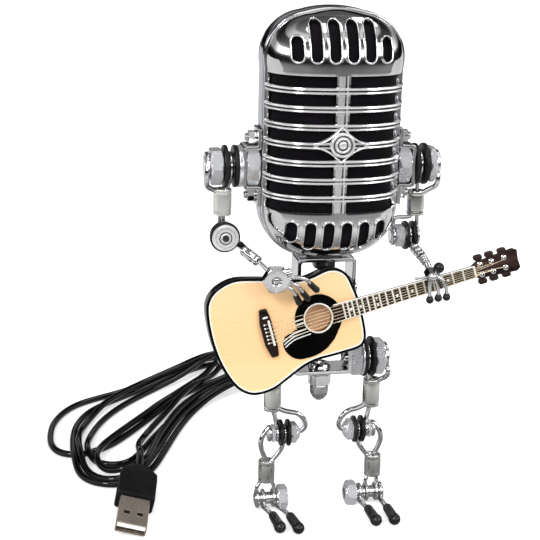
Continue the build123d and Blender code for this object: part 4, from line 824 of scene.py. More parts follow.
# raised lips round the slots, beads along the seam with the hoop
for side_name, side, nd in (("front", -1, "mic_front_grille"), ("rear", 1, "mic_rear_grille")):
    lips = Shape()
    for sx, lo, hi in SLOTS:
        ring = []
        for k in range(44):
            q = 2 * math.pi * k / 44
            cz = hi - SLOT_R if math.sin(q) > 0 else lo + SLOT_R
            ring.append((sx + (SLOT_R + 0.22) * math.cos(q), cz + (SLOT_R + 0.22) * math.sin(q)))
            if k in (0, 22):
                other = lo + SLOT_R if k == 0 else hi - SLOT_R
                mids = [(ring[-1][0], (lo + SLOT_R) * (1 - t) + (hi - SLOT_R) * t) for t in ((0.0, 0.17, 0.33, 0.5, 0.67, 0.83) if k == 0 else (1.0, 0.83, 0.67, 0.5, 0.33, 0.17))]
                ring = ring[:-1] + mids
        pts = []
        for x, z in ring:
            z = min(z, 199.2)
            if abs(x) >= head_front.w(z) - 0.2:
                x = math.copysign(head_front.w(z) - 0.5, x)
            pts.append(Vector((x, side * (head_front.y(x, z) + 0.12), z)))
        lips.tube(pts, 0.40, 8, closed=True)
    lips.make("slot_lips_" + side_name, "chrome", body="lamp", sharp=60, weighted=False)
    bead = Shape()
    edge = inset_profile(FRONT, 0.75)
    pts = [Vector((x, side * 5.1, z)) for x, z in edge] + [Vector((-x, side * 5.1, z)) for x, z in edge[::-1]]
    bead.tube(pts, 0.62, 10, closed=True)
    bead.make("seam_bead_" + side_name, "chrome", body="lamp", sharp=60, weighted=False)

# centre hoop: a rolled band with soft edges, in a darker copy of chrome as painted shade
hoop = Shape()
outline = [Vector((x, z)) for x, z in FRONT] + [Vector((-x, z)) for x, z in FRONT[-2:0:-1]]
rings = []
section = [(-4.4, 0.9), (-4.28, 0.42), (-3.95, 0.12), (-3.4, 0.0), (-1.5, -0.04), (1.5, -0.04), (3.4, 0.0), (3.95, 0.12), (4.28, 0.42), (4.4, 0.9), (4.4, 2.3), (4.1, 2.6), (-4.1, 2.6), (-4.4, 2.3)]
k = len(outline)
for i, p in enumerate(outline):
    t = (outline[(i + 1) % k] - outline[i - 1]).normalized()
    n = Vector((-t.y, t.x))
    rings.append([Vector((p.x + n.x * dpt, y, p.y + n.y * dpt)) for y, dpt in section])
hoop.rings(rings, closed=True)
hoop.block((0, 1.0, 179.4), (47.6, 3.0, 5.0), edge=0.5)
hoop.make("head_centre_hoop", "chrome", "mic_centre_hoop", sharp=45, mat="chrome_painted_dark")

# the two ridges of each bar, in a whiter copy of chrome as a painted highlight, and a black tube along the groove
# between them as painted shade
for side_name, side in (("front", -1), ("rear", 1)):
    ridge, groove = Shape(), Shape()
    for i, ((lo, hi), (lo2, hi2)) in enumerate(zip(BANDS, BANDS[1:])):
        for share, out, r, shape in ((0.77, 0.42, 0.40, ridge), (0.20, 0.24, 0.32, ridge), (0.47, -0.04, 0.17, groove)):
            z = hi2 + share * (lo - hi2)
            w, d = head_front.w(z), head_front.d(z)
            s0 = math.asin((5.4 / d) ** (N_PLAN / 2))
            line = []
            for k in range(65):
                q = s0 + (math.pi - 2 * s0) * k / 64
                x = math.copysign(w * abs(math.cos(q)) ** (2 / N_PLAN), math.cos(q))
                line.append(Vector((x, d * math.sin(q) ** (2 / N_PLAN))))
            pts = []
            for k, c in enumerate(line):
                t = (line[min(k + 1, 64)] - line[max(k - 1, 0)]).normalized()
                c = c + Vector((t.y, -t.x)) * out * (1 if t.x < 0 or abs(t.y) > 0.99 else -1)
                pts.append((c.x, side * c.y, z))
            if side < 0 and i == 3:
                for part in ([p for p in pts if p[0] > 9.6], [p for p in pts if p[0] < -9.6]):
                    shape.tube(part, r, 8, straight=True)
            else:
                shape.tube(pts, r, 8, straight=True)
    # the upright middle bar: a flat face in zinc, paler than the chrome round it as a painted reflection, a black tube
    # along a groove as painted shade and a ridge beside it in the whiter chrome copy as a painted highlight
    face, upright = Shape(), []
    for k in range(61):
        z = BANDS[-1][0] + (BANDS[0][1] - BANDS[-1][0]) * k / 60
        upright.append(z)
    face.rings([[Vector((0, side * head_front.y(0, upright[0]), upright[0]))]] + [[Vector((x, side * (head_front.y(x, z) + o), z)) for x, o in ((-1.95, -0.2), (-1.95, 0.1), (0.5, 0.1), (0.5, -0.2))] for z in upright]
               + [[Vector((0, side * head_front.y(0, upright[-1]), upright[-1]))]])
    groove.tube([(0.85, side * (head_front.y(0.85, z) - 0.02), z) for z in upright], 0.14, 8, straight=True)
    ridge.tube([(1.5, side * (head_front.y(1.5, z) + 0.02), z) for z in upright], 0.34, 8, straight=True)
    # middle bar face in zinc, paler than the chrome grille: painted reflection
    face.make("middle_bar_face_" + side_name, "chrome", body="lamp", mat="zinc", weighted=False)
    # ridges in the whiter copy of chrome: painted highlight
    ridge.make("bar_ridges_" + side_name, "chrome", body="lamp", mat="chrome_painted_highlight", weighted=False)
    # black tubes along the grooves: painted shade
    groove.make("bar_groove_painted_shade_" + side_name, "guitar_black", body="lamp", weighted=False)

# badge: a four-pointed flare of the middle bar, and a plain ringed boss
badge = Shape()
rings = []
for k in range(61):
    x = -10.4 + 20.8 * k / 60
    hh = 0.80 + 5.7 * max(0.0, 1 - abs(x) / 9.2) ** 1.7
    zc = 152.0 + 0.4 * max(0.0, 1 - abs(x) / 8.0)
    y = head_front.y(x, 152.4)
    q = min(0.42, hh * 0.45)
    sec = [(-hh - q, -0.9), (-hh - q, 0.5), (-hh - q * 0.6, 0.88), (-hh, 1.0), (-hh + q * 0.6, 0.88), (-hh + q, 0.45), (-hh + q * 1.3, 0.22), (0, 0.2),
           (hh - q * 1.3, 0.22), (hh - q, 0.45), (hh - q * 0.6, 0.88), (hh, 1.0), (hh + q * 0.6, 0.88), (hh + q, 0.5), (hh + q, -0.9)]
    rings.append([Vector((x, -(y + o), zc + z)) for z, o in sec])
badge.rings([[sum((p for p in rings[0]), Vector()) / len(rings[0])]] + rings + [[sum((p for p in rings[-1]), Vector()) / len(rings[-1])]])
badge.lathe((0.2, -20.3, 152.4), (0.2, -24, 152.4), [(0, 0), (0, 4.6), (1.3, 4.6), (1.85, 4.4), (2.0, 4.05), (1.9, 3.75), (1.45, 3.6), (1.4, 2.9), (1.7, 2.75), (1.9, 2.5), (1.7, 2.25), (1.4, 2.1), (1.35, 1.4), (1.6, 1.3), (1.8, 1.1), (1.85, 0.6), (1.85, 0)], 56)
# badge in the whiter copy of chrome: painted highlight
badge.make("head_badge", "chrome", "grille_badge", sharp=50, mat="chrome_painted_highlight")
inlay = Shape()
strip = []
for k in range(41):
    x = -8.6 + 17.2 * k / 40
    hh = 0.80 + 5.7 * max(0.0, 1 - abs(x) / 9.2) ** 1.7
    q = min(0.42, hh * 0.45)
    y = head_front.y(x, 152.4)
    zc = 152.0 + 0.4 * max(0.0, 1 - abs(x) / 8.0)
    strip.append([Vector((x, -(y + o), zc + z)) for z, o in ((-hh + q * 1.2, 0.0), (-hh + q * 1.2, 0.34), (hh - q * 1.2, 0.34), (hh - q * 1.2, 0.0))])
inlay.rings([[sum((p for p in strip[0]), Vector()) / 4]] + strip + [[sum((p for p in strip[-1]), Vector()) / 4]])
inlay.torus((0.2, -21.62, 152.4), (0, 1, 0), 3.3, 0.26, 56, 10)
inlay.torus((0.2, -21.58, 152.4), (0, 1, 0), 1.75, 0.24, 40, 10)
inlay.make("head_badge_inlay", "guitar_black", body="lamp")

# ------------------------------------------------------ screws, nuts, brackets
SHOULDER_Z, HIP_Z, KNEE_Z, ELBOW_L_Z = 141.0, 63.1, 32.0, 112.6
ELBOW_R = (-39.8, 114.8)
ANKLE_Y, ANKLE_Z = -1.5, 4.5


def pan_head(sh, a, b, r, shank=None):
    """Pan head with a round, tapered recess in its crown, from its seat a to its crown b."""
    a, b = Vector(a), Vector(b)
    h = (b - a).length
    sh.lathe(a, b, [(0, 0), (0, r * 0.96), (h * 0.12, r), (h * 0.5, r * 0.97), (h * 0.78, r * 0.84), (h * 0.93, r * 0.6), (h, r * 0.4), (h * 0.97, r * 0.36), (h * 0.7, r * 0.2), (h * 0.68, 0)], 32)
    x, y, z = basis(b - a)
    return sh


screws = Shape()
for s in (-1, 1):
    for dz in (-11, 11):
        z = SHOULDER_Z + dz
        screws.washer((s * 27.9, 0, z), (s * 28.55, 0, z), 2.65, 1.5, 0.12)
        screws.hexa((s * 28.5, 0, z), (s * 31.0, 0, z), 4.5, 0, corner=(0, 1, 0))
        screws.thread((s * 30.9, 0, z), (s * 32.2, 0, z), 1.5, 0.5, 0.15, 24)
        screws.rod((s * 24.1, 0, z), (s * 27.9, 0, z), 1.5)
    for z in (79.0, 92.0):
        screws.rod((s * 7.6, 0, z), (s * 11.6, 0, z), 1.5)
        pan_head(screws, (s * 11.6, 0, z), (s * 13.6, 0, z), 2.7)
    screws.rod((s * 6.6, -0.5, 179.4), (s * 6.6, 20.2, 179.4), 1.5)
    pan_head(screws, (s * 6.6, 20.2, 179.4), (s * 6.6, 21.6, 179.4), 2.7)

NECK = Vector((0.969, 0.035, 0.247)).normalized()
FACE = Vector((0.0, -0.9907, 0.1395)).normalized()
GX, GZ = NECK, FACE
GY = GZ.cross(GX).normalized()
GO = Vector((-5.6, -17.5, 85.6))


def g(u, v, h):
    return GO + GX * u + GY * v + GZ * h


for v in (-3.5, 3.5):
    screws.rod(g(6.0, v, -5.6), g(6.0, v, -8.7), 1.2)
    pan_head(screws, g(6.0, v, -8.7), g(6.0, v, -10.1), 2.2)
screws.make("machine_screws", "chrome", "m3_screws")

tube_ = Shape()
tube_.thread((0, 0, 113.6), (0, 0, 98.2), 2.6, 1.0, 0.22)
tube_.make("neck_threaded_tube", "chrome", "neck_tube")
nuts = Shape()
nuts.hexa((0, 0, 100.6), (0, 0, 104.0), 8.0, 2.6)
nuts.hexa((0, 0, 109.5), (0, 0, 112.4), 8.0, 2.6)
nuts.washer((0, 0, 105.6), (0, 0, 106.75), 7.0, 2.65, 0.3)
nuts.make("neck_nuts_black", "dark_nut", "neck_nuts")

FX, ST, FY = 11.6, 1.5, 6.0


def strap(sh, pts, t, y0=-6.0, y1=6.0, r=1.9):
    """Strip of sheet metal bent through pts in the XZ plane, of thickness t, to the left of its line."""
    path = []
    n = len(pts)
    for i, p in enumerate(pts):
        if i in (0, n - 1):
            path.append(Vector(p))
            continue
        p, a, b = Vector(p), Vector(pts[i - 1]), Vector(pts[i + 1])
        u, v = (a - p), (b - p)
        cut = min(r, u.length * 0.45, v.length * 0.45)
        s, e = p + u.normalized() * cut, p + v.normalized() * cut
        for j in range(7):
            q = j / 6
            path.append(s * (1 - q) ** 2 + p * 2 * q * (1 - q) + e * q * q)
    left, right = [], []
    for i, p in enumerate(path):
        d = (path[min(i + 1, len(path) - 1)] - path[max(0, i - 1)]).normalized()
        nrm = Vector((-d.y, d.x))
        left.append(tuple(p + nrm * t))
        right.append(tuple(p))
    sh.slab(right + left[::-1], (0, 0, 0), (1, 0, 0), (0, 0, 1), (0, 1, 0), y0, y1, 0.32)


neck = Shape()
strap(neck, [(FX, 74.0), (FX, 105.6), (-FX, 105.6), (-FX, 74.0)], ST)
neck.make("neck_strap", "chrome", "neck_bracket")
pelvis = Shape()
strap(pelvis, [(-FX + 1.55, 82.3), (-FX + 1.55, 74.2), (-FX, 73.0), (-FX, 58.15), (FX, 58.15), (FX, 73.0), (FX - 1.55, 74.2), (FX - 1.55, 82.3)], ST, r=1.6)
pelvis.make("pelvis_strap", "chrome", "pelvis_bracket")
acorn = Shape()
acorn.hexa((0, 0, 57.15), (0, 0, 52.4), 8.0, 0, corner=(1, 0, 0))
acorn.washer((0, 0, 57.15), (0, 0, 58.1), 5.0, 2.5, 0.3)
acorn.lathe((0, 0, 52.6), (0, 0, 45.3), [(0, 0), (0, 3.75), (0.4, 3.9), (0.8, 3.72), (3.2, 3.66), (4.6, 3.35), (5.9, 2.5), (6.8, 1.4), (7.2, 0.5), (7.3, 0)], 48)
acorn.rod((0, 0, 57), (0, 0, 59.7), 2.5)
acorn.lathe((0, 0, 59.65), (0, 0, 61.6), [(0, 0), (0, 4.3), (0.5, 4.3), (1.6, 3.7), (1.95, 2.6), (1.6, 1.4), (1.0, 1.2), (1.0, 0)], 40)
acorn.make("pelvis_acorn_nut", "chrome", "pelvis_acorn_bolt")

hats = Shape()
for s in (-1, 1):
    loop = [(26.5, 14.7), (27.9, 14.7), (27.9, 8.3), (33.4, 8.3), (33.4, -8.3), (27.9, -8.3), (27.9, -14.7), (26.5, -14.7), (26.5, -6.9), (32.0, -6.9), (32.0, 6.9), (26.5, 6.9)]
    rad = [0.45, 0.45, 0.6, 2.0, 2.0, 0.6, 0.45, 0.45, 1.2, 0.9, 0.9, 1.2]
    lp = [(s * x, z) for x, z in rounded(loop, rad, 6)]
    hats.slab(lp, (0, 0, SHOULDER_Z), (1, 0, 0), (0, 0, 1), (0, 1, 0), -5.5, 5.5, 0.3)
hats.make("shoulder_hat_brackets", "chrome", "shoulder_brackets")

R_SH = dict(steel=(33.4, 35.0), rub1=(35.1, 36.5), eye=(36.75, 38.55), rub2=(38.8, 40.3), nut=(40.7, 45.5), ring=(45.6, 47.2), end=47.5)
L_SH = dict(rub1=(33.6, 35.0), eye=(35.25, 36.95), rub2=(37.15, 38.7), nut=(39.1, 42.0), ring=(42.1, 43.6), end=43.9)
HIP = dict(rub1=(16.8, 18.1), eye=(18.3, 19.9), rub2=(20.1, 21.4), nut=(21.5, 25.6), ring=(25.7, 27.2), end=27.4)
bolts, m8, rub, studs = Shape(), Shape(), Shape(), Shape()
for s, k in ((-1, R_SH), (1, L_SH)):
    bolts.hexa((s * 26.75, 0, SHOULDER_Z), (s * 32.0, 0, SHOULDER_Z), 13.0)
    bolts.thread((s * 31.9, 0, SHOULDER_Z), (s * k["end"], 0, SHOULDER_Z), 4.0, 1.25, 0.3)
    m8.hexa((s * k["nut"][0], 0, SHOULDER_Z), (s * k["nut"][1], 0, SHOULDER_Z), 13.0, 4.0)
    m8.hexa((s * HIP["nut"][0], 0, HIP_Z), (s * HIP["nut"][1], 0, HIP_Z), 13.0, 4.0)
    m8.hexa((s * 11.6, 0, HIP_Z), (s * 16.1, 0, HIP_Z), 13.0, 4.0)
    m8.washer((s * 16.1, 0, HIP_Z), (s * 16.7, 0, HIP_Z), 7.6, 4.0, 0.15)
    studs.lathe((s * 9.1, 0, HIP_Z), (s * 10.1, 0, HIP_Z), [(0, 0), (0, 2.8), (0.3, 3.2), (1.0, 3.2), (1.0, 0)], 32)
    studs.rod((s * 10.0, 0, HIP_Z), (s * 11.7, 0, HIP_Z), 2.5)
    studs.thread((s * 11.6, 0, HIP_Z), (s * HIP["end"], 0, HIP_Z), 4.0, 1.25, 0.3)
m8.washer((-35.0, 0, SHOULDER_Z), (-33.4, 0, SHOULDER_Z), 8.0, 4.0, 0.3)
for s, k, z in ((-1, R_SH, SHOULDER_Z), (1, L_SH, SHOULDER_Z), (-1, HIP, HIP_Z), (1, HIP, HIP_Z)):
    for name in ("rub1", "rub2"):
        rub.washer((s * k[name][0], 0, z), (s * k[name][1], 0, z), 8.0, 4.0, 0.4, 64)
bolts.make("shoulder_bolts_m8", "chrome", "shoulder_bolts", mat="zinc")
m8.make("hex_nuts_m8", "chrome", "m8_nuts", mat="zinc")
rub.make("rubber_friction_washers", "rubber", "friction_washers")
studs.make("hip_threaded_studs", "chrome", "hip_studs")


# ------------------------------------------------------------------------ limbs
def eye(sh, xs, y, z, bolt, wall=1.6, s=1):
    """Loop of wire round a bolt that runs along X."""
    lo, hi = sorted((s * xs[0], s * xs[1]))
    r = (hi - lo) / 2 - 0.02
    sh.torus(((lo + hi) / 2, y, z), (1, 0, 0), bolt + 0.05 + wall / 2, wall / 2, squash=r / (wall / 2))


def barrel(sh, a, b, r, turn=2.4):
    """Crimped steel sleeve with soft ends, two shallow crimps and its seam."""
    h = (Vector(b) - Vector(a)).length
    p = [(0.7, 0), (0.7, r * 0.62), (0.12, r * 0.74), (0.0, r * 0.86), (0.12, r * 0.96), (0.4, r), (1.3, r), (1.55, r - 0.1), (2.0, r - 0.13), (2.4, r), (h * 0.5, r + 0.02),
         (h - 2.4, r), (h - 2.0, r - 0.13), (h - 1.55, r - 0.1), (h - 1.3, r), (h - 0.4, r), (h - 0.12, r * 0.96), (h, r * 0.86), (h - 0.12, r * 0.74), (h - 0.7, r * 0.62), (h - 0.7, 0)]
    sh.lathe(a, b, p, 60, notch=(turn, 0.06, 0.3))


def mid(pair):
    return (pair[0] + pair[1]) / 2


def two(name, node, slot_bright, fill):
    """A limb: its barrels in nickel, its wires in chrome."""
    steel, bright = Shape(), Shape()
    fill(steel, bright)
    if steel.v:
        # the right upper arm's barrel takes the paler nickel copy: painted light
        steel.make(name + "_sleeve", slot_bright, node, mat="nickel_painted_light" if name == "right_upper_arm" else None)
        bright.make(name + "_wires", "chrome", body=frame["nodes"][node]["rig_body"])
    else:
        bright.make(name + "_wires", "chrome", node)


W = 1.03


def right_upper_arm(steel, bright):
    k = R_SH
    barrel(steel, (-40.2, 0, 122.4), (-40.2, 0, 132.6), 3.5)
    eye(bright, k["eye"], 0, SHOULDER_Z, 4.0, 1.6, -1)
    eye(bright, k["ring"], 0, SHOULDER_Z, 4.0, 1.6, -1)
    bright.tube([(-mid(k["eye"]), 0, SHOULDER_Z - 4.4), (-mid(k["eye"]), 0, 133.4), (-39.4, 0, 131.0)], 0.8)
    bright.tube([(-46.4, -3.2, 144.2), (-46.5, -5.4, 141.6), (-47.3, -5.2, 137.6), (-46.8, -3.4, 133.9), (-43.2, -1.0, 132.0), (-41.0, -0.4, 130.8)], W)
    bright.torus((-39.8, -0.2, 114.8), (0, 1, 0), 2.0 + 0.05 + 0.75, 0.78)
    bright.tube([(-39.8, -0.2, 117.3), (-39.9, -0.15, 120.2), (-40.2, -0.1, 123.2)], W)
    bright.tube([(-41.2, -0.2, 117.0), (-41.4, -0.15, 120.2), (-41.0, -0.1, 123.0)], 0.7)


two("right_upper_arm", "right_upper_arm", "nickel", right_upper_arm)

x, z = ELBOW_R
eb = Shape()
eb.thread((x, 3.4, z), (x, -3.0, z), 2.0, 0.8, 0.15)
eb.lathe((x, -5.4, z), (x, -7.6, z), [(0, 0), (0, 4.9), (0.25, 5.1), (1.1, 5.05), (1.4, 4.85), (1.55, 4.4), (1.62, 3.2), (1.6, 2.5), (1.45, 2.4), (1.45, 2.1), (1.9, 2.02), (2.15, 1.75), (2.15, 1.4), (1.2, 1.3), (1.1, 0)], 56)
eb.hexa((x, 0.65, z), (x, 2.8, z), 7.0, 1.5, corner=(1, 0, 0))
# cap screw in the brighter chrome copy: painted reflection
eb.make("right_elbow_cap_screw", "chrome", "right_elbow_bolt", mat="chrome_painted_bright")
ew = Shape()
ew.washer((x, -5.9, z), (x, -4.0, z), 5.75, 2.0, 0.3)
ew.lathe((x, -6.3, z), (x, -7.2, z), [(0, 0), (0, 1.22), (0.9, 1.2), (0.9, 0)], 6)
ew.torus((x, -6.88, z), (0, 1, 0), 2.24, 0.2, 48, 8)
ew.torus((x, -7.0, z), (0, 1, 0), 3.75, 0.05, 48, 8)
ew.washer((x, -2.3, z), (x, -1.0, z), 5.3, 2.0, 0.35)
ew.make("right_elbow_rubber", "rubber", "right_elbow_washers")


def right_forearm(steel, bright):
    bright.torus((x, -3.15, z), (0, 1, 0), 2.8, 0.76)
    bright.tube([(x + 2.0, -3.15, z - 1.6), (x + 4.6, -3.15, z - 3.3), (-33.4, -4.6, 110.9), (-32.6, -9.0, 110.2)], W)
    bright.tube([(x + 2.6, -3.15, z - 0.4), (x + 5.6, -3.15, z - 2.2), (-32.8, -4.8, 111.7), (-32.0, -9.0, 110.8)], 0.7)
    barrel(bright, (-33.4, -8.0, 110.5), (-28.4, -13.4, 107.3), 2.0)
    bright.tube([(-29.0, -12.8, 107.7), (-27.0, -16.4, 106.6), (-24.2, -20.2, 103.8)], 0.8)
    bright.hexa((-22.6, -17.9, 102.4), (-23.0, -22.2, 101.8), 9.2, 1.7, corner=(1, 0, 0))
    bright.ball((-22.8, -20.0, 102.0), 1.9, (0, 1, 0), squash=0.9)
    bright.lathe((-22.0, -20.4, 103.8), (-17.0, -20.4, 104.8), [(0, 0), (0, 1.5), (0.3, 1.8), (1.6, 1.8), (1.9, 1.6), (2.2, 1.8), (4.4, 1.8), (4.9, 1.5), (5.1, 0.9), (5.1, 0)], 28)
    bright.tube([(-21.0, -20.6, 103.0), (-16.6, -21.0, 103.2), (-12.6, -20.9, 102.6), (-10.4, -20.2, 101.0), (-9.4, -19.5, 99.3)], 0.78)
    bright.tube([(-21.4, -20.6, 101.2), (-17.4, -21.2, 101.0), (-14.2, -21.0, 99.4), (-12.3, -19.9, 96.2)], 0.78)
    bright.tube([(-22.0, -20.4, 99.6), (-19.4, -21.0, 99.6), (-16.6, -20.9, 98.4), (-14.8, -20.1, 94.9)], 0.78)
    bright.torus((-17.9, -20.6, 102.2), (0.6, 0.0, 0.3), 1.5, 0.5)


two("right_forearm", "right_forearm", "chrome", right_forearm)
tips = Shape()
for a, b in (((-10.2, -19.8, 100.3), (-7.2, -19.4, 97.5)), ((-12.9, -19.9, 97.1), (-10.6, -19.6, 94.3)), ((-15.4, -20.1, 96.0), (-13.9, -19.8, 92.9))):
    d = (Vector(b) - Vector(a)).normalized()
    h = (Vector(b) - Vector(a)).length
    tips.lathe(a, Vector(b) + d * 1.3, [(0, 0), (0, 0.95), (0.2, 1.12), (0.5, 1.15), (h * 0.6, 1.22), (h, 1.32), (h + 0.6, 1.2), (h + 1.05, 0.75), (h + 1.25, 0.3), (h + 1.3, 0)], 24)
tips.make("right_finger_sleeves", "fingertip", "right_finger_tips")

LE = dict(inner=(26.3, 27.7), nut=(27.8, 31.5), rub1=(31.5, 32.9), eye=(32.95, 34.45), rub2=(34.5, 35.9), outer=(36.0, 37.4))


def left_upper_arm(steel, bright):
    k = L_SH
    barrel(steel, (35.7, 0, 120.9), (35.7, 0, 130.6), 3.4)
    eye(bright, k["eye"], 0, SHOULDER_Z, 4.0)
    eye(bright, k["ring"], 0, SHOULDER_Z, 4.0)
    bright.tube([(mid(k["eye"]), 0, SHOULDER_Z - 4.4), (mid(k["eye"]), 0, 132.4), (36.0, 0, 129.0)], 0.8)
    bright.tube([(42.85, -3.6, 138.0), (42.9, -4.6, 135.6), (42.6, -3.4, 132.8), (39.4, -2.0, 131.0), (36.8, -1.2, 129.0)], W)
    bright.torus((27.0, 0, ELBOW_L_Z), (1, 0, 0), 3.25, 0.7)
    bright.torus((36.7, 0, ELBOW_L_Z), (1, 0, 0), 3.25, 0.7)
    bright.tube([(36.7, 0, ELBOW_L_Z + 2.9), (36.9, 0, 117.0), (36.4, 0, 121.8)], 0.78)
    bright.tube([(27.0, 0, ELBOW_L_Z + 2.9), (27.0, 0, 117.4), (27.6, 0, 119.9), (31.6, 0, 119.9), (34.2, 0, 120.0), (34.8, 0, 121.8)], 0.78)


two("left_upper_arm", "left_upper_arm", "nickel", left_upper_arm)
lb = Shape()
lb.thread((26.1, 0, ELBOW_L_Z), (37.6, 0, ELBOW_L_Z), 2.48, 0.8, 0.16)
lb.hexa((LE["nut"][0], 0, ELBOW_L_Z), (LE["nut"][1], 0, ELBOW_L_Z), 8.0, 2.2)
lb.make("left_elbow_threaded_bolt", "chrome", "left_elbow_bolt", mat="zinc")
lw = Shape()
for name in ("rub1", "rub2"):
    lw.washer((LE[name][0], 0, ELBOW_L_Z), (LE[name][1], 0, ELBOW_L_Z), 5.6, 2.5, 0.35)
lw.make("left_elbow_rubber", "rubber", "left_elbow_washers")


def left_forearm(steel, bright):
    bright.torus((mid(LE["eye"]), 0, ELBOW_L_Z), (1, 0, 0), 3.3, 0.72)
    bright.tube([(33.7, -2.4, ELBOW_L_Z - 2.0), (33.7, -4.8, 110.4), (33.9, -6.2, 108.9), (34.9, -7.8, 107.9)], 0.8)
    bright.tube([(33.5, -1.2, ELBOW_L_Z - 3.0), (33.2, -3.6, 109.4), (33.6, -5.6, 108.2), (34.6, -7.4, 107.3)], 0.68)
    barrel(bright, (34.3, -5.4, 109.1), (36.0, -10.6, 106.8), 1.95)
    bright.rod((36.0, -10.4, 106.9), (36.8, -15.4, 105.0), 1.15)
    for t in (0.25, 0.5, 0.75):
        p = Vector((36.0, -10.6, 106.8)).lerp(Vector((36.8, -15.4, 105.0)), t)
        bright.torus(p, (0.8, -4.8, -1.8), 1.35, 0.36)
    bright.rod((36.8, -15.2, 105.0), (37.2, -20.2, 101.9), 1.35)
    bright.hexa((36.9, -18.2, 103.2), (37.3, -21.0, 101.4), 4.4, 0, corner=(1, 0, 0))
    bright.ball((37.3, -20.9, 101.4), 1.75)
    bright.tube([(37.3, -20.5, 101.9), (38.9, -20.7, 101.4), (39.9, -20.7, 102.0), (39.8, -20.6, 103.8)], 0.68)
    for a, b, c in (((37.0, -20.6, 101.4), (36.2, -20.9, 98.6), (37.1, -20.4, 92.8)), ((37.6, -20.7, 101.2), (39.9, -21.0, 99.4), (40.4, -20.4, 93.4)), ((37.8, -20.6, 101.6), (43.2, -21.0, 101.2), (43.7, -20.4, 93.7))):
        bright.tube([a, b, c], 0.68)
    bright.tube([(36.8, -20.5, 101.3), (34.0, -20.8, 101.6), (31.0, -20.2, 100.7)], 0.55)


two("left_forearm", "left_forearm", "chrome", left_forearm)
ft = Shape()
ft.ball((39.8, -20.6, 104.9), 2.1)
for c in ((37.1, -20.3, 92.2), (40.4, -20.3, 92.8), (43.7, -20.3, 93.1)):
    ft.ball(c, 1.5)
    ft.torus((c[0], c[1], c[2] + 1.3), (0, 0, 1), 0.75, 0.3, 24, 8)
ft.make("left_finger_balls", "fingertip", "left_finger_tips")

KN = dict(nut=(8.2, 13.0), rub1=(13.1, 14.2), eye=(14.4, 15.95), rub2=(16.1, 17.2), outer=(17.4, 18.95), head=(19.1, 20.5), bow=(20.6, 22.1))


def kx(s, x):
    return s * x + 1.5


KA = {
    -1: dict(fork=(-25.2, -18.6), eyes=(-22.7, -17.0), nut=(-16.3, -12.4), end=(-25.6, -12.2), toes=((-19.3, -23.3), (-12.3, -25.1))),
    1: dict(fork=(20.2, 24.2), eyes=(17.4, 26.2), nut=(12.4, 16.4), end=(12.2, 28.0), toes=((19.6, -22.9), (27.1, -23.1))),
}
TOE_R = 2.4


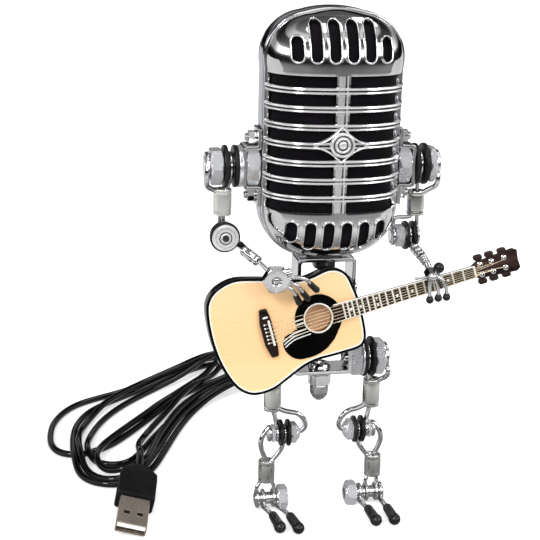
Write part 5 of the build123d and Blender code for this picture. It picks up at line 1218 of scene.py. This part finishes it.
def leg(s, side):
    bx = s * 20.2 + 1.4

    def upper(steel, bright):
        barrel(steel, (bx, 0, 42.0), (bx, 0, 53.6), 3.4)
        eye(bright, HIP["eye"], 0, HIP_Z, 4.0, 1.6, s)
        eye(bright, HIP["ring"], 0, HIP_Z, 4.0, 1.6, s)
        bright.tube([(s * mid(HIP["eye"]), 0, HIP_Z - 4.4), (s * mid(HIP["eye"]), 0, 55.4), (bx - s * 0.6, 0, 52.0)], 0.8)
        bright.tube([(s * 26.95, -3.0, HIP_Z - 3.6), (s * 27.2, -4.4, 58.2), (s * 26.8, -3.4, 55.2), (s * 23.8, -2.0, 53.6), (bx + s * 0.6, -1.4, 51.6)], W)
        bright.torus((kx(s, mid(KN["outer"])), 0, KNEE_Z), (1, 0, 0), 2.85, 0.74)
        bright.tube([(kx(s, 18.3), 0, KNEE_Z + 2.6), (kx(s, 18.9), -0.4, 38.6), (bx - s * 0.1, 0, 43.4)], 0.95)
        bright.tube([(bx - s * 1.5, -0.4, 43.2), (kx(s, 15.4), -1.0, 41.4), (kx(s, 10.2), -1.8, 41.0), (kx(s, 7.0), -1.6, 37.4), (kx(s, 6.9), -0.8, 33.2), (kx(s, 9.0), 0, KNEE_Z + 0.2)], W)

    two(side + "_upper_leg", side + "_upper_leg", "nickel", upper)
    kb = Shape()
    kb.thread((kx(s, 12.8), 0, KNEE_Z), (kx(s, 22.2), 0, KNEE_Z), 1.98, 0.8, 0.15)
    kb.hexa((kx(s, 10.3), 0, KNEE_Z), (kx(s, 13.0), 0, KNEE_Z), 7.6, 0)
    kb.lathe((kx(s, 10.6), 0, KNEE_Z), (kx(s, 8.6), 0, KNEE_Z), [(0, 0), (0, 3.5), (0.5, 3.45), (1.0, 3.0), (1.5, 2.2), (1.8, 1.2), (1.95, 0)], 40)
    kb.hexa((kx(s, 19.1), 0, KNEE_Z), (kx(s, 20.5), 0, KNEE_Z), 6.4, 1.7)
    kb.make(side + "_knee_cap_nut", "chrome", side + "_knee_bolt", mat="zinc")
    kw = Shape()
    for name in ("rub1", "rub2"):
        kw.washer((kx(s, KN[name][0]), 0, KNEE_Z), (kx(s, KN[name][1]), 0, KNEE_Z), 5.4, 2.0, 0.25)
    kw.make(side + "_knee_rubber", "rubber", side + "_knee_washers")
    lx = kx(s, 22.1)

    def lower(steel, bright):
        barrel(steel, (lx, -0.4, 11.4), (lx, 0, 20.6), 3.3)
        bright.torus((kx(s, mid(KN["eye"])), 0, KNEE_Z), (1, 0, 0), 2.8, 0.74)
        bright.torus((kx(s, mid(KN["bow"])), 0, KNEE_Z), (1, 0, 0), 2.7, 0.72)
        bright.tube([(kx(s, 15.2), 0, KNEE_Z - 2.6), (kx(s, 15.4), 0, 26.4), (kx(s, 17.4), 0, 22.8), (lx - s * 1.2, 0, 19.0)], 0.95)
        bright.tube([(kx(s, 21.35), 0, KNEE_Z + 2.6), (kx(s, 23.6), -0.6, 32.6), (kx(s, 25.2), -1.0, 28.4), (lx + s * 1.6, -0.6, 23.2), (lx - s * 0.2, 0, 19.4)], W)
        for x in KA[s]["fork"]:
            bright.torus((x + 0.7, ANKLE_Y, ANKLE_Z), (1, 0, 0), 3.2, 0.68)
            o = 0.9 if x + 0.7 > lx else -0.9
            bright.tube([(x + 0.7, ANKLE_Y, ANKLE_Z + 2.9), (x + 0.7 + o * 1.0, ANKLE_Y, 9.6), (lx + o * 1.4, -0.4, 12.8)], 0.8)

    two(side + "_lower_leg", side + "_lower_leg", "nickel", lower)
    k = KA[s]
    ft = Shape()
    ft.thread((k["end"][0], ANKLE_Y, ANKLE_Z), (k["end"][1], ANKLE_Y, ANKLE_Z), 2.48, 0.8, 0.16)
    an = Shape()
    an.hexa((k["nut"][0], ANKLE_Y, ANKLE_Z), (k["nut"][1], ANKLE_Y, ANKLE_Z), 9.0, 2.2)
    an.lathe((k["nut"][0] + 0.1, ANKLE_Y, ANKLE_Z), (k["nut"][0] - 0.6, ANKLE_Y, ANKLE_Z), [(0, 2.1), (0, 3.5), (0.45, 3.4), (0.7, 3.0), (0.7, 2.1)], 40)
    an.make(side + "_ankle_nut", "chrome", body=side + "_sole", mat="zinc")
    sl = Shape()
    for x, (tx, ty) in zip(k["eyes"], k["toes"]):
        ft.torus((x + 0.7, ANKLE_Y, ANKLE_Z), (1, 0, 0), 3.15, 0.68)
        ft.tube([(x + 0.7, ANKLE_Y + 9.8, 0.95), (x + 0.7, ANKLE_Y + 2.0, 0.95), (x + 0.7, ANKLE_Y - 3.0, 1.7), (tx - (tx - x) * 0.3, -11.0, 2.2), (tx, ty + 1.5, TOE_R)], 0.98)
        ft.tube([(x + 0.7, ANKLE_Y - 0.4, 1.3), (x + 0.7, ANKLE_Y - 3.4, 2.2), (x + 0.7, ANKLE_Y - 3.2, ANKLE_Z - 0.4)], 0.75)
        dx = tx - x - 0.7
        a, b = Vector((tx - dx * 0.28, ty + 10.9, 2.3)), Vector((tx, ty, TOE_R))
        h = (b - a).length
        sl.lathe(a, b + (b - a).normalized() * 2.4, [(0, 0), (0, 1.45), (0.3, 1.75), (0.9, 1.85), (h * 0.5, 1.95), (h - 2.2, 2.05), (h - 1.2, 2.22), (h, 2.38), (h + 1.0, 2.16), (h + 1.75, 1.62), (h + 2.2, 0.95), (h + 2.4, 0)], 36)
    ft.tube([(k["eyes"][0] + 0.7, ANKLE_Y + 8.6, 0.95), (k["eyes"][0] + 0.8, ANKLE_Y + 10.8, 0.95), (k["eyes"][1] + 0.6, ANKLE_Y + 10.8, 0.95), (k["eyes"][1] + 0.7, ANKLE_Y + 8.6, 0.95)], 0.85)
    ft.make(side + "_foot_wires", "chrome", side + "_foot")
    sl.make(side + "_toe_rubber_sleeves", "fingertip", side + "_toe_sleeves")


leg(-1, "right")
leg(1, "left")

# ----------------------------------------------------------------------- guitar
RIM = (
    (-40.4, 15.7), (-38, 19.6), (-33.5, 22.2), (-26.7, 23.3), (-22.2, 22.2), (-18.2, 21.1), (-9.5, 18.2), (-0.9, 16.1),
    (4.6, 16.9), (9.8, 17.2), (12.6, 16.1), (14.6, 14), (16, 9.1), (16.9, 4.3), (17, -1.3), (17, -6.6), (16.5, -11.6),
    (15.3, -14.3), (12.3, -16), (7.1, -16), (0, -15.9), (-6.1, -15.8), (-11.3, -17.2), (-16.7, -19.4), (-22.1, -21.7),
    (-27.1, -22.2), (-31.8, -21.7), (-35, -19.4), (-38.4, -14.3), (-40.7, -6.7), (-41.6, 1.8), (-41.2, 10.6),
)
outline = []
for i in range(0, len(RIM), 2):
    outline += arc3(RIM[i], RIM[i + 1], RIM[(i + 2) % len(RIM)], 7)
# ease the joins between the arcs
for _ in range(3):
    outline = [((a[0] + 2 * b[0] + c[0]) / 4, (a[1] + 2 * b[1] + c[1]) / 4) for a, b, c in zip(outline[-1:] + outline[:-1], outline, outline[1:] + outline[:1])]
if area2(outline) < 0:
    outline = outline[::-1]


def circle(r, n=48, c=(0.0, 0.0)):
    return [(c[0] + r * math.cos(2 * math.pi * k / n), c[1] + r * math.sin(2 * math.pi * k / n)) for k in range(n)]


def gslab(sh, loop, h0, h1, bevel=0.12, holes=(), low=True):
    sh.slab(loop, GO, GX, GY, GZ, h0, h1, bevel, holes, low=low)
    return sh


top = Shape()
gslab(top, shift(outline, 1.5), -0.9, 0.0, 0.03, [circle(5.4)])
top.make("guitar_top_spruce", "spruce", "guitar_soundboard")
purf = Shape()
gslab(purf, shift(outline, 1.05), -0.85, 0.04, 0.03, [shift(outline, 1.52)])
purf.torus(g(0, 0, 0.06), GZ, 5.55, 0.30, 64, 10, 0.6)
purf.make("guitar_purfling", "ivory", body="lamp")
binding = Shape()
gslab(binding, outline, -1.2, 0.06, 0.35, [shift(outline, 1.06)])
binding.make("guitar_binding", "guitar_black", body="lamp")
sides = Shape()
gslab(sides, shift(outline, 0.12), -7.5, -0.9, 0.9, [circle(5.35)])
sides.make("guitar_sides_and_back", "guitar_black", "guitar_body")
cup = Shape()
cup.lathe(g(0, 0, -0.05), g(0, 0, -7.4), [(0.0, 5.45), (0.15, 5.2), (0.75, 5.18), (1.0, 5.4), (3.2, 5.4), (3.8, 5.0), (4.0, 0), (7.3, 0), (7.3, 5.3), (1.0, 5.6), (0.3, 5.6)], 56, closed=False)
cup.make("guitar_inside", "rosewood", body="lamp", mat="copper_wood", weighted=False)
guard = Shape()
ringo = []
gslab(guard, circle(9.2, 72), 0.0, 0.26, 0.1, [circle(5.8, 72)])
drop = [(5.3, -3.6), (3.6, -5.3), (1.2, -6.25), (-1.4, -6.2), (-4.0, -4.9), (-5.9, -2.5), (-9.8, -1.8), (-14.3, -3.3)] + arc3((-14.3, -3.3), (-15.6, -6.6), (-14.5, -10.3), 8) + arc3((-14.5, -10.3), (-11.9, -12.8), (-8.4, -13.6), 8) + arc3((-8.4, -13.6), (-3.4, -13.4), (1.0, -11.8), 8) + [(4.2, -9.4), (6.0, -7.2)] + [(6.6, -5.2)]
gslab(guard, drop, 0.0, 0.3, 0.1)
guard.make("guitar_pickguard_black", "guitar_black", "guitar_pickguard")
lines = Shape()
for v in (1.25, -0.35):
    lines.tube([g(-9.3, v, 0.27), g(-7.4, v + 0.15, 0.29), g(-5.75, v + 0.25, 0.27)], 0.24, 10)
for k in range(3):
    dv = -1.15 * k
    lines.tube([g(-15.2 + 0.1 * k, -4.9 + dv, 0.28), g(-12.0, -3.2 + dv, 0.32), g(-8.6, -2.75 + dv, 0.32), g(-5.6 + 0.6 * k, -2.6 + dv, 0.3)], 0.22, 10)
lines.make("guitar_guard_lines", "ivory", body="lamp")
bridge = Shape()
bl = rounded([(-21.4, 9.6), (-18.5, 9.4), (-17.9, 5.4), (-17.8, -5.4), (-18.3, -9.4), (-21.0, -9.5), (-22.4, -4.4), (-22.5, 3.8)], 0.7, 4)
gslab(bridge, bl, 0.0, 1.45, 0.4)
bridge.make("guitar_bridge_rosewood", "rosewood", "guitar_bridge")
nuts = Shape()
gslab(nuts, rounded([(-19.4, -5.0), (-18.6, -5.0), (-18.6, 5.0), (-19.4, 5.0)], 0.25, 4), 1.2, 2.1, 0.2)
gslab(nuts, rounded([(-20.9, 5.9), (-18.9, 5.9), (-18.9, 6.6), (-20.9, 6.6)], 0.2, 3), 1.3, 1.62, 0.12)
gslab(nuts, rounded([(63.1, -2.35), (63.9, -2.35), (63.9, 2.35), (63.1, 2.35)], 0.15, 3), 0, 1.5, 0.15)
for i in range(6):
    nuts.ball(g(-20.9, (2.5 - i) * 1.44, 1.5), 0.36, GZ, 14, 0.7)
nuts.make("guitar_bone_parts", "ivory", "guitar_nut_and_saddle")


def half_width(u):
    return 3.5 - (3.5 - 2.35) * (u - 6.5) / (63.5 - 6.5)


NUT_U, SCALE_U = 63.5, 82.5
FRETS = [NUT_U - SCALE_U * (1 - 2 ** (-n / 12)) for n in range(1, 19)]
board = Shape()
gslab(board, rounded([(6.3, -3.5), (63.1, -half_width(63.5)), (63.1, half_width(63.5)), (6.3, 3.5)], 0.25, 3), 0, 1.0, 0.25)
board.make("guitar_fingerboard", "rosewood", "guitar_fretboard")
wires = Shape()
for u in FRETS:
    w = half_width(u)
    wires.tube([g(u, -w + 0.1, 1.0), g(u, 0, 1.06), g(u, w - 0.1, 1.0)], 0.34, 10, squash=1.0)
last = NUT_U
for n, u in enumerate(FRETS, 1):
    c = (u + last) / 2
    last = u
    if n in (3, 5, 7, 9, 15, 17):
        wires.lathe(g(c, 0, 0.7), g(c, 0, 1.05), [(0, 0), (0, 0.55), (0.33, 0.55), (0.36, 0.4), (0.36, 0)], 24)
    if n == 12:
        for v in (-1.3, 1.3):
            wires.lathe(g(c, v, 0.7), g(c, v, 1.05), [(0, 0), (0, 0.45), (0.33, 0.45), (0.36, 0.3), (0.36, 0)], 24)
for sv in (-1, 1):
    wires.tube([g(6.6, sv * (half_width(6.6) - 0.16), 0.86), g(63.0, sv * (half_width(63.0) - 0.16), 0.86)], 0.26, 10)
wires.make("guitar_fret_wires", "ivory", "guitar_frets")

TUNER_U = (66.6, 71.3, 76.5)
nk = Shape()
rings = []
for t in range(13):
    u = 17.05 + (63.9 - 17.05) * t / 12
    w = half_width(u)
    ring = []
    for q in range(19):
        a = math.pi * q / 18
        ring.append(g(u, w * math.cos(a), -0.25 - 2.45 * math.sin(a) ** 0.8))
    ring += [g(u, -w, -0.02), g(u, w, -0.02)]
    rings.append(ring)
nk.rings([[g(17.05, 0, -1.0)]] + rings + [[g(63.9, 0, -1.0)]])
# heel
heel = []
for u, w, lo in ((17.02, 2.6, -6.8), (18.2, 2.55, -6.6), (19.6, 2.4, -5.0), (21.6, 2.3, -3.2), (23.5, 2.2, -2.4)):
    heel.append([g(u, w * math.cos(math.pi * q / 12), lo * (0.25 + 0.75 * math.sin(math.pi * q / 12) ** 0.5)) for q in range(13)] + [g(u, -w, -0.3), g(u, w, -0.3)])
nk.rings([[g(17.02, 0, -2.0)]] + heel + [[g(23.5, 0, -1.0)]])
hl = rounded([(63.2, -2.3), (65.2, -3.3), (80.8, -4.6), (82.5, -3.6), (82.1, 0.0), (82.5, 3.6), (80.8, 4.6), (65.2, 3.3), (63.2, 2.3)], [0.2, 1, 0.8, 0.7, 1.5, 0.7, 0.8, 1, 0.2], 5)
gslab(nk, hl, -1.9, -0.3, 0.3)
nk.make("guitar_neck_and_headstock", "rosewood", "guitar_neck")
tn = Shape()
kn = Shape()
for u in TUNER_U:
    for s in (-1, 1):
        tn.lathe(g(u, s * 2.0, -2.2), g(u, s * 2.0, 1.0), [(0, 0), (0, 0.58), (1.75, 0.58), (1.75, 1.05), (2.0, 1.1), (2.15, 0.9), (2.2, 0.5), (2.6, 0.42), (2.75, 0.5), (3.1, 0.55), (3.2, 0.4), (3.2, 0)], 24)
        tn.block(g(u, s * 2.2, -2.5), (2.0, 2.0, 1.1), (GX, GY, GZ), 0.2)
        kn.lathe(g(u, s * 2.6, -2.0), g(u, s * 4.8, -2.0), [(0, 0), (0, 0.4), (1.0, 0.4), (1.1, 0.6), (1.5, 0.6), (1.6, 0.4), (2.2, 0.4), (2.2, 0)], 20)
        kn.block(g(u, s * 4.75, -1.5), (3.5, 2.3, 2.6), (GX, GY, GZ), 0.8)
tn.make("guitar_tuning_machines", "chrome", "guitar_tuners")
kn.make("guitar_tuner_buttons", "rosewood", body="lamp")
st = Shape()
for i in range(6):
    v, n = (2.5 - i) * 1.44, (2.5 - i) * 0.72
    r = 0.09 + 0.01 * i
    pu = TUNER_U[min(i, 5 - i)]
    pv = 1.4 if i < 3 else -1.4
    st.tube([g(-20.9, v, 1.55), g(-19.0, v, 2.1 + r)], r, 8, cap=False)
    st.tube([g(-19.0, v, 2.1 + r), g(NUT_U, n, 1.5 + r)], r, 8, cap=False)
    st.tube([g(NUT_U, n, 1.5 + r), g(pu - 0.8, pv, 0.5)], r, 8, cap=False)
    st.torus(g(pu, 2.0 if i < 3 else -2.0, 0.42), GZ, 0.62, 0.13, 20, 8)
st.make("guitar_string_set", "brass", "guitar_strings")

# ----------------------------------------------------------------------- studio
fme = bpy.data.meshes.new("studio_floor")
fme.from_pydata([(-6, -0.17, 0), (6, -0.17, 0), (6, 7, 0), (-6, 7, 0)], [], [(0, 1, 2, 3)])
floor = bpy.data.objects.new("studio_floor", fme)
scene.collection.objects.link(floor)
fm = material("studio_floor", (0.80, 0.80, 0.80), (0.785, 0.785, 0.785), 0.0, 0.75, 0.05, 6, 20, 0.02, 60, 0.0001, specular=0.1)
fb = fm.node_tree.nodes["Principled BSDF"]
fb.inputs["Emission Color"].default_value = (1, 1, 1, 1)
fb.inputs["Emission Strength"].default_value = 0.55
ft_ = fm.node_tree
fo = ft_.nodes["Material Output"]
# to reflections the floor is a plain glow, dimmed close round the robot (0.24 near, 0.80 from 0.19 m out): painted
# shade in its reflection; the camera sees the evenly lit floor
fpath = ft_.nodes.new("ShaderNodeLightPath")
fmix = ft_.nodes.new("ShaderNodeMixShader")
fdim = ft_.nodes.new("ShaderNodeEmission")
fdim.inputs["Color"].default_value = (1, 1, 1, 1)
fco = ft_.nodes.new("ShaderNodeTexCoord")
flen = ft_.nodes.new("ShaderNodeVectorMath")
flen.operation = "LENGTH"
floor_reflection_shade = ft_.nodes.new("ShaderNodeMapRange")
floor_reflection_shade.interpolation_type = "SMOOTHSTEP"
floor_reflection_shade.inputs["From Min"].default_value, floor_reflection_shade.inputs["From Max"].default_value = 0.03, 0.19
floor_reflection_shade.inputs["To Min"].default_value, floor_reflection_shade.inputs["To Max"].default_value = 0.24, 0.80
ft_.links.new(fco.outputs["Object"], flen.inputs[0])
ft_.links.new(flen.outputs["Value"], floor_reflection_shade.inputs["Value"])
ft_.links.new(floor_reflection_shade.outputs["Result"], fdim.inputs["Strength"])
ft_.links.new(fpath.outputs["Is Glossy Ray"], fmix.inputs["Fac"])
ft_.links.new(fb.outputs[0], fmix.inputs[1])
ft_.links.new(fdim.outputs[0], fmix.inputs[2])
ft_.links.new(fmix.outputs[0], fo.inputs["Surface"])
floor.data.materials.append(fm)

world = bpy.data.worlds.new("studio")
scene.world = world
world.use_nodes = True
t = world.node_tree
for n in list(t.nodes):
    t.nodes.remove(n)
out = t.nodes.new("ShaderNodeOutputWorld")
mixs = t.nodes.new("ShaderNodeMixShader")
lp = t.nodes.new("ShaderNodeLightPath")
seen = t.nodes.new("ShaderNodeBackground")
seen.inputs["Color"].default_value = (1, 1, 1, 1)
seen.inputs["Strength"].default_value = 1.0
lit = t.nodes.new("ShaderNodeBackground")
co = t.nodes.new("ShaderNodeTexCoord")
sep = t.nodes.new("ShaderNodeSeparateXYZ")
t.links.new(co.outputs["Generated"], sep.inputs["Vector"])
ramp = t.nodes.new("ShaderNodeValToRGB")
cr = ramp.color_ramp
cr.interpolation = "EASE"
stops = [(0.0, 0.85), (0.26, 0.85), (0.33, 0.55), (0.38, 0.36), (0.42, 0.25), (0.465, 0.08), (0.495, 0.02), (0.565, 0.03), (0.595, 0.30), (0.622, 2.4), (0.705, 2.6), (0.735, 0.35), (0.79, 0.12), (0.85, 0.08), (0.88, 0.75), (0.94, 0.75), (0.965, 0.25), (1.0, 0.2)]
while len(cr.elements) > 1:
    cr.elements.remove(cr.elements[-1])
cr.elements[0].position = stops[0][0]
cr.elements[0].color = (stops[0][1],) * 3 + (1,)
for pos, v in stops[1:]:
    e = cr.elements.new(pos)
    e.color = (v, v, v, 1)
half = t.nodes.new("ShaderNodeMath")
half.operation = "MULTIPLY_ADD"
half.inputs[1].default_value, half.inputs[2].default_value = 0.5, 0.5
t.links.new(sep.outputs["Z"], half.inputs[0])
t.links.new(half.outputs[0], ramp.inputs["Fac"])
t.links.new(ramp.outputs["Color"], lit.inputs["Color"])
back = t.nodes.new("ShaderNodeMapRange")
back.inputs["From Min"].default_value, back.inputs["From Max"].default_value = -0.15, 0.45
back.inputs["To Min"].default_value, back.inputs["To Max"].default_value = 1.0, 0.16
t.links.new(sep.outputs["Y"], back.inputs["Value"])
t.links.new(back.outputs["Result"], lit.inputs["Strength"])
t.links.new(lp.outputs["Is Camera Ray"], mixs.inputs["Fac"])
t.links.new(lit.outputs[0], mixs.inputs[1])
t.links.new(seen.outputs[0], mixs.inputs[2])
t.links.new(mixs.outputs[0], out.inputs["Surface"])


def softbox(name, at, to, size, power):
    la = bpy.data.lights.new(name, "AREA")
    la.shape = "RECTANGLE"
    la.size, la.size_y = size
    la.energy = power
    ob = bpy.data.objects.new(name, la)
    scene.collection.objects.link(ob)
    ob.location = at
    d = Vector(to) - Vector(at)
    ob.rotation_euler = d.to_track_quat("-Z", "Y").to_euler()
    return ob




def sun(name, az, el, angle, strength):
    la = bpy.data.lights.new(name, "SUN")
    la.angle, la.energy = math.radians(angle), strength
    ob = bpy.data.objects.new(name, la)
    scene.collection.objects.link(ob)
    d = Vector((math.sin(math.radians(az)) * math.cos(math.radians(el)), -math.cos(math.radians(az)) * math.cos(math.radians(el)), math.sin(math.radians(el))))
    ob.rotation_euler = d.to_track_quat("Z", "Y").to_euler()
    return ob


sun("key", -38, 42, 14, 1.15)
sun("fill", 48, 30, 18, 0.75)
sun("top", 0, 78, 26, 0.45)
sun("rim", 118, 58, 20, 0.35)

scene.view_settings.view_transform = "Standard"
scene.view_settings.look = "None"
scene.view_settings.exposure = 0.0
